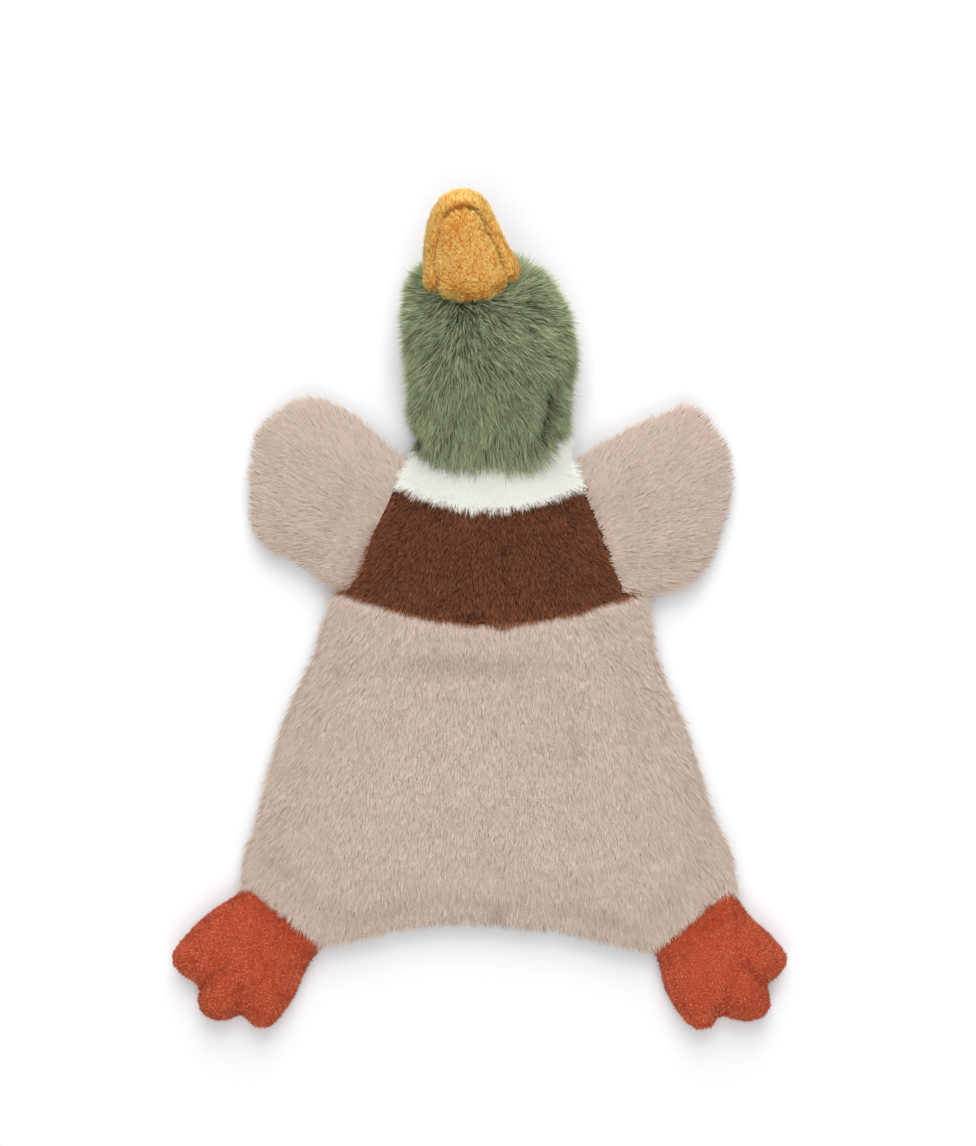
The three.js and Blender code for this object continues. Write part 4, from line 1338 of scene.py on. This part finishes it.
def dress_foot(number, foot, skin, nodes):
    even_out(skin, 1)
    place = bends()
    at, outward, _ = hinge(f"{foot}_flap")
    root, facing = spread_roots(skin, fur_density(7e6, 3.5e6), 41 + number)
    kept = (root - at) @ outward > -2 * MM
    finish_skin(skin, rust_ground, nodes, place)
    comb, tint = fan_comb(at - outward * 20 * MM), foot_tint(100 + number, at, outward)
    roots = root[kept], facing[kept]
    pile(f"{foot}_pile", roots, comb, tint, VELOUR, 110 + number, rust_pile, place)


for number, (foot, (skin, nodes)) in enumerate(feet.items()):
    dress_foot(number, foot, skin, nodes)


def groove(root, bill):
    """1 where the two halves of the bill meet, 0 from 2.5 mm away."""
    return 1 - smooth_step(distance_to(OTHER_HALF[bill], root), 0.3 * MM, 2.5 * MM)


def bill_nap(bill):
    """Short curls, shorter still in the groove."""
    return dict(
        VELOUR, length=1.8 * MM, width=0.32 * MM, lift=(50, 20), tuft=0.7 * MM, gather=0.5, swirl=70,
        swirl_wave=9 * MM, tuft_swing=34, stray=18, stray_tint=0.26, tuft_tint=0.2, skyward=0.5, gaps=0.4,
        ruffle=0.1, uneven=0.1, clump_tint=0.0, scale=lambda root, facing: 1 - 0.2 * groove(root, bill),
    )


def bill_tint(bill):
    """Painted shade, a deeper orange, in the groove between the halves, along the fold and in the dimple by
    the tip.
    """
    base = 0.82 if bill == "upper_bill" else 0.68

    def tint(root, facing):
        aside, ahead = bill_spot(root)
        dimple = bell((aside + 5 * MM) / (4 * MM), (ahead - 29 * MM) / (5 * MM))
        dark = 0.45 * dimple + 0.8 * groove(root, bill) + 0.7 * fold_depth(root, *BILL_FOLD)
        return plain_tint(120, 6 * MM, 0.03, base)(root, facing) - dark

    return tint


def dress_bill(number, bill, nodes, body):
    place = rides(body)
    roots = spread_roots(bill, fur_density(10e6, 8e6), 43 + number)
    finish_skin(bill, yellow_ground, nodes, place)
    comb = fan_comb(BILL_BASE - np.array([0, 30 * MM, 0]))
    tint, kind = bill_tint(bill.name), bill_nap(bill.name)
    pile(f"{bill.name}_pile", roots, comb, tint, kind, 130 + number, yellow_pile, place)


dress_bill(0, upper_bill, UPPER_BILL_NODES, "head")
dress_bill(1, lower_bill, LOWER_BILL_NODES, "jaw")


# Stage, light and camera
TABLE_WHITE, TABLE_GLOW, ROOM_LIGHT = 0.785, 0.05, 0.185
CAMERA_HEIGHT, LENS = 1.5, 117.8
LAMPS = (  # name, place, size both ways and power
    ("softbox", (0.05, 1.4, 1.15), 1.4, 1.5, 32),
    ("overhead", (0.0, 0.25, 2.0), 1.2, 1.2, 13.6),
    ("fill", (0.0, -1.3, 1.6), 2.4, 1.6, 21.5),
)


def add_floor():
    """A white table, lit a little more as the camera sees it."""
    bpy.ops.mesh.primitive_plane_add(size=8, location=(0, 0, -0.2 * MM))
    floor = bpy.context.object
    floor.name = "floor"
    finish, tree, surface = new_finish("white_table")
    surface.inputs["Base Color"].default_value = (TABLE_WHITE, TABLE_WHITE, TABLE_WHITE, 1)
    set_surface(surface, 0.9, 0, 0)
    glow, both = add_node(tree, "Emission", Color=(1, 1, 1, 1)), add_node(tree, "AddShader")
    wire(
        tree,
        (add_ray_share(tree, "Is Camera Ray", TABLE_GLOW), "Value", glow, "Strength"),
        (surface, "BSDF", both, 0),
        (glow, "Emission", both, 1),
        (both, "Shader", tree.nodes["Material Output"], "Surface"),
    )
    floor.data.materials.append(finish)


def light_room():
    """White behind the toy and in its reflections, and a dimmer white that lights it."""
    world = bpy.context.scene.world or bpy.data.worlds.new("studio")
    bpy.context.scene.world = world
    world.use_nodes = True
    tree = world.node_tree
    tree.nodes.clear()
    out, seen = add_node(tree, "OutputWorld"), add_node(tree, "LightPath")
    room = add_node(tree, "Background", Color=(1, 1, 1, 1), Strength=ROOM_LIGHT)
    backdrop = add_node(tree, "Background", Color=(1, 1, 1, 1), Strength=1)
    either, pick = add_node(tree, "Math"), add_node(tree, "MixShader")
    either.operation, either.use_clamp = "ADD", True
    wire(
        tree,
        (seen, "Is Camera Ray", either, 0),
        (seen, "Is Glossy Ray", either, 1),
        (either, "Value", pick, "Fac"),
        (room, "Background", pick, 1),
        (backdrop, "Background", pick, 2),
        (pick, "Shader", out, "Surface"),
    )


def add_lamps():
    for name, place, wide, tall, power in LAMPS:
        lamp = bpy.data.lights.new(name, "AREA")
        lamp.shape, lamp.size, lamp.size_y, lamp.energy = "RECTANGLE", wide, tall, power
        light = bpy.data.objects.new(name, lamp)
        light.location = place
        light.rotation_euler = (Vector((0, 0, 0)) - light.location).to_track_quat("-Z", "Y").to_euler()
        bpy.context.scene.collection.objects.link(light)


def add_camera():
    """Straight above the toy, as in the photo."""
    eye = bpy.data.cameras.new("camera")
    eye.sensor_width, eye.lens = 36, LENS
    eye.clip_start, eye.clip_end = 0.1, 20
    camera = bpy.data.objects.new("camera", eye)
    camera.location = (MIDLINE - 0.8 * MM, NECK_SEAM - 45.2 * MM, CAMERA_HEIGHT + SEAM_LEVEL)
    bpy.context.scene.collection.objects.link(camera)
    bpy.context.scene.camera = camera


add_floor()
light_room()
add_lamps()
add_camera()
bpy.context.scene.view_settings.view_transform = "Standard"
deselect()
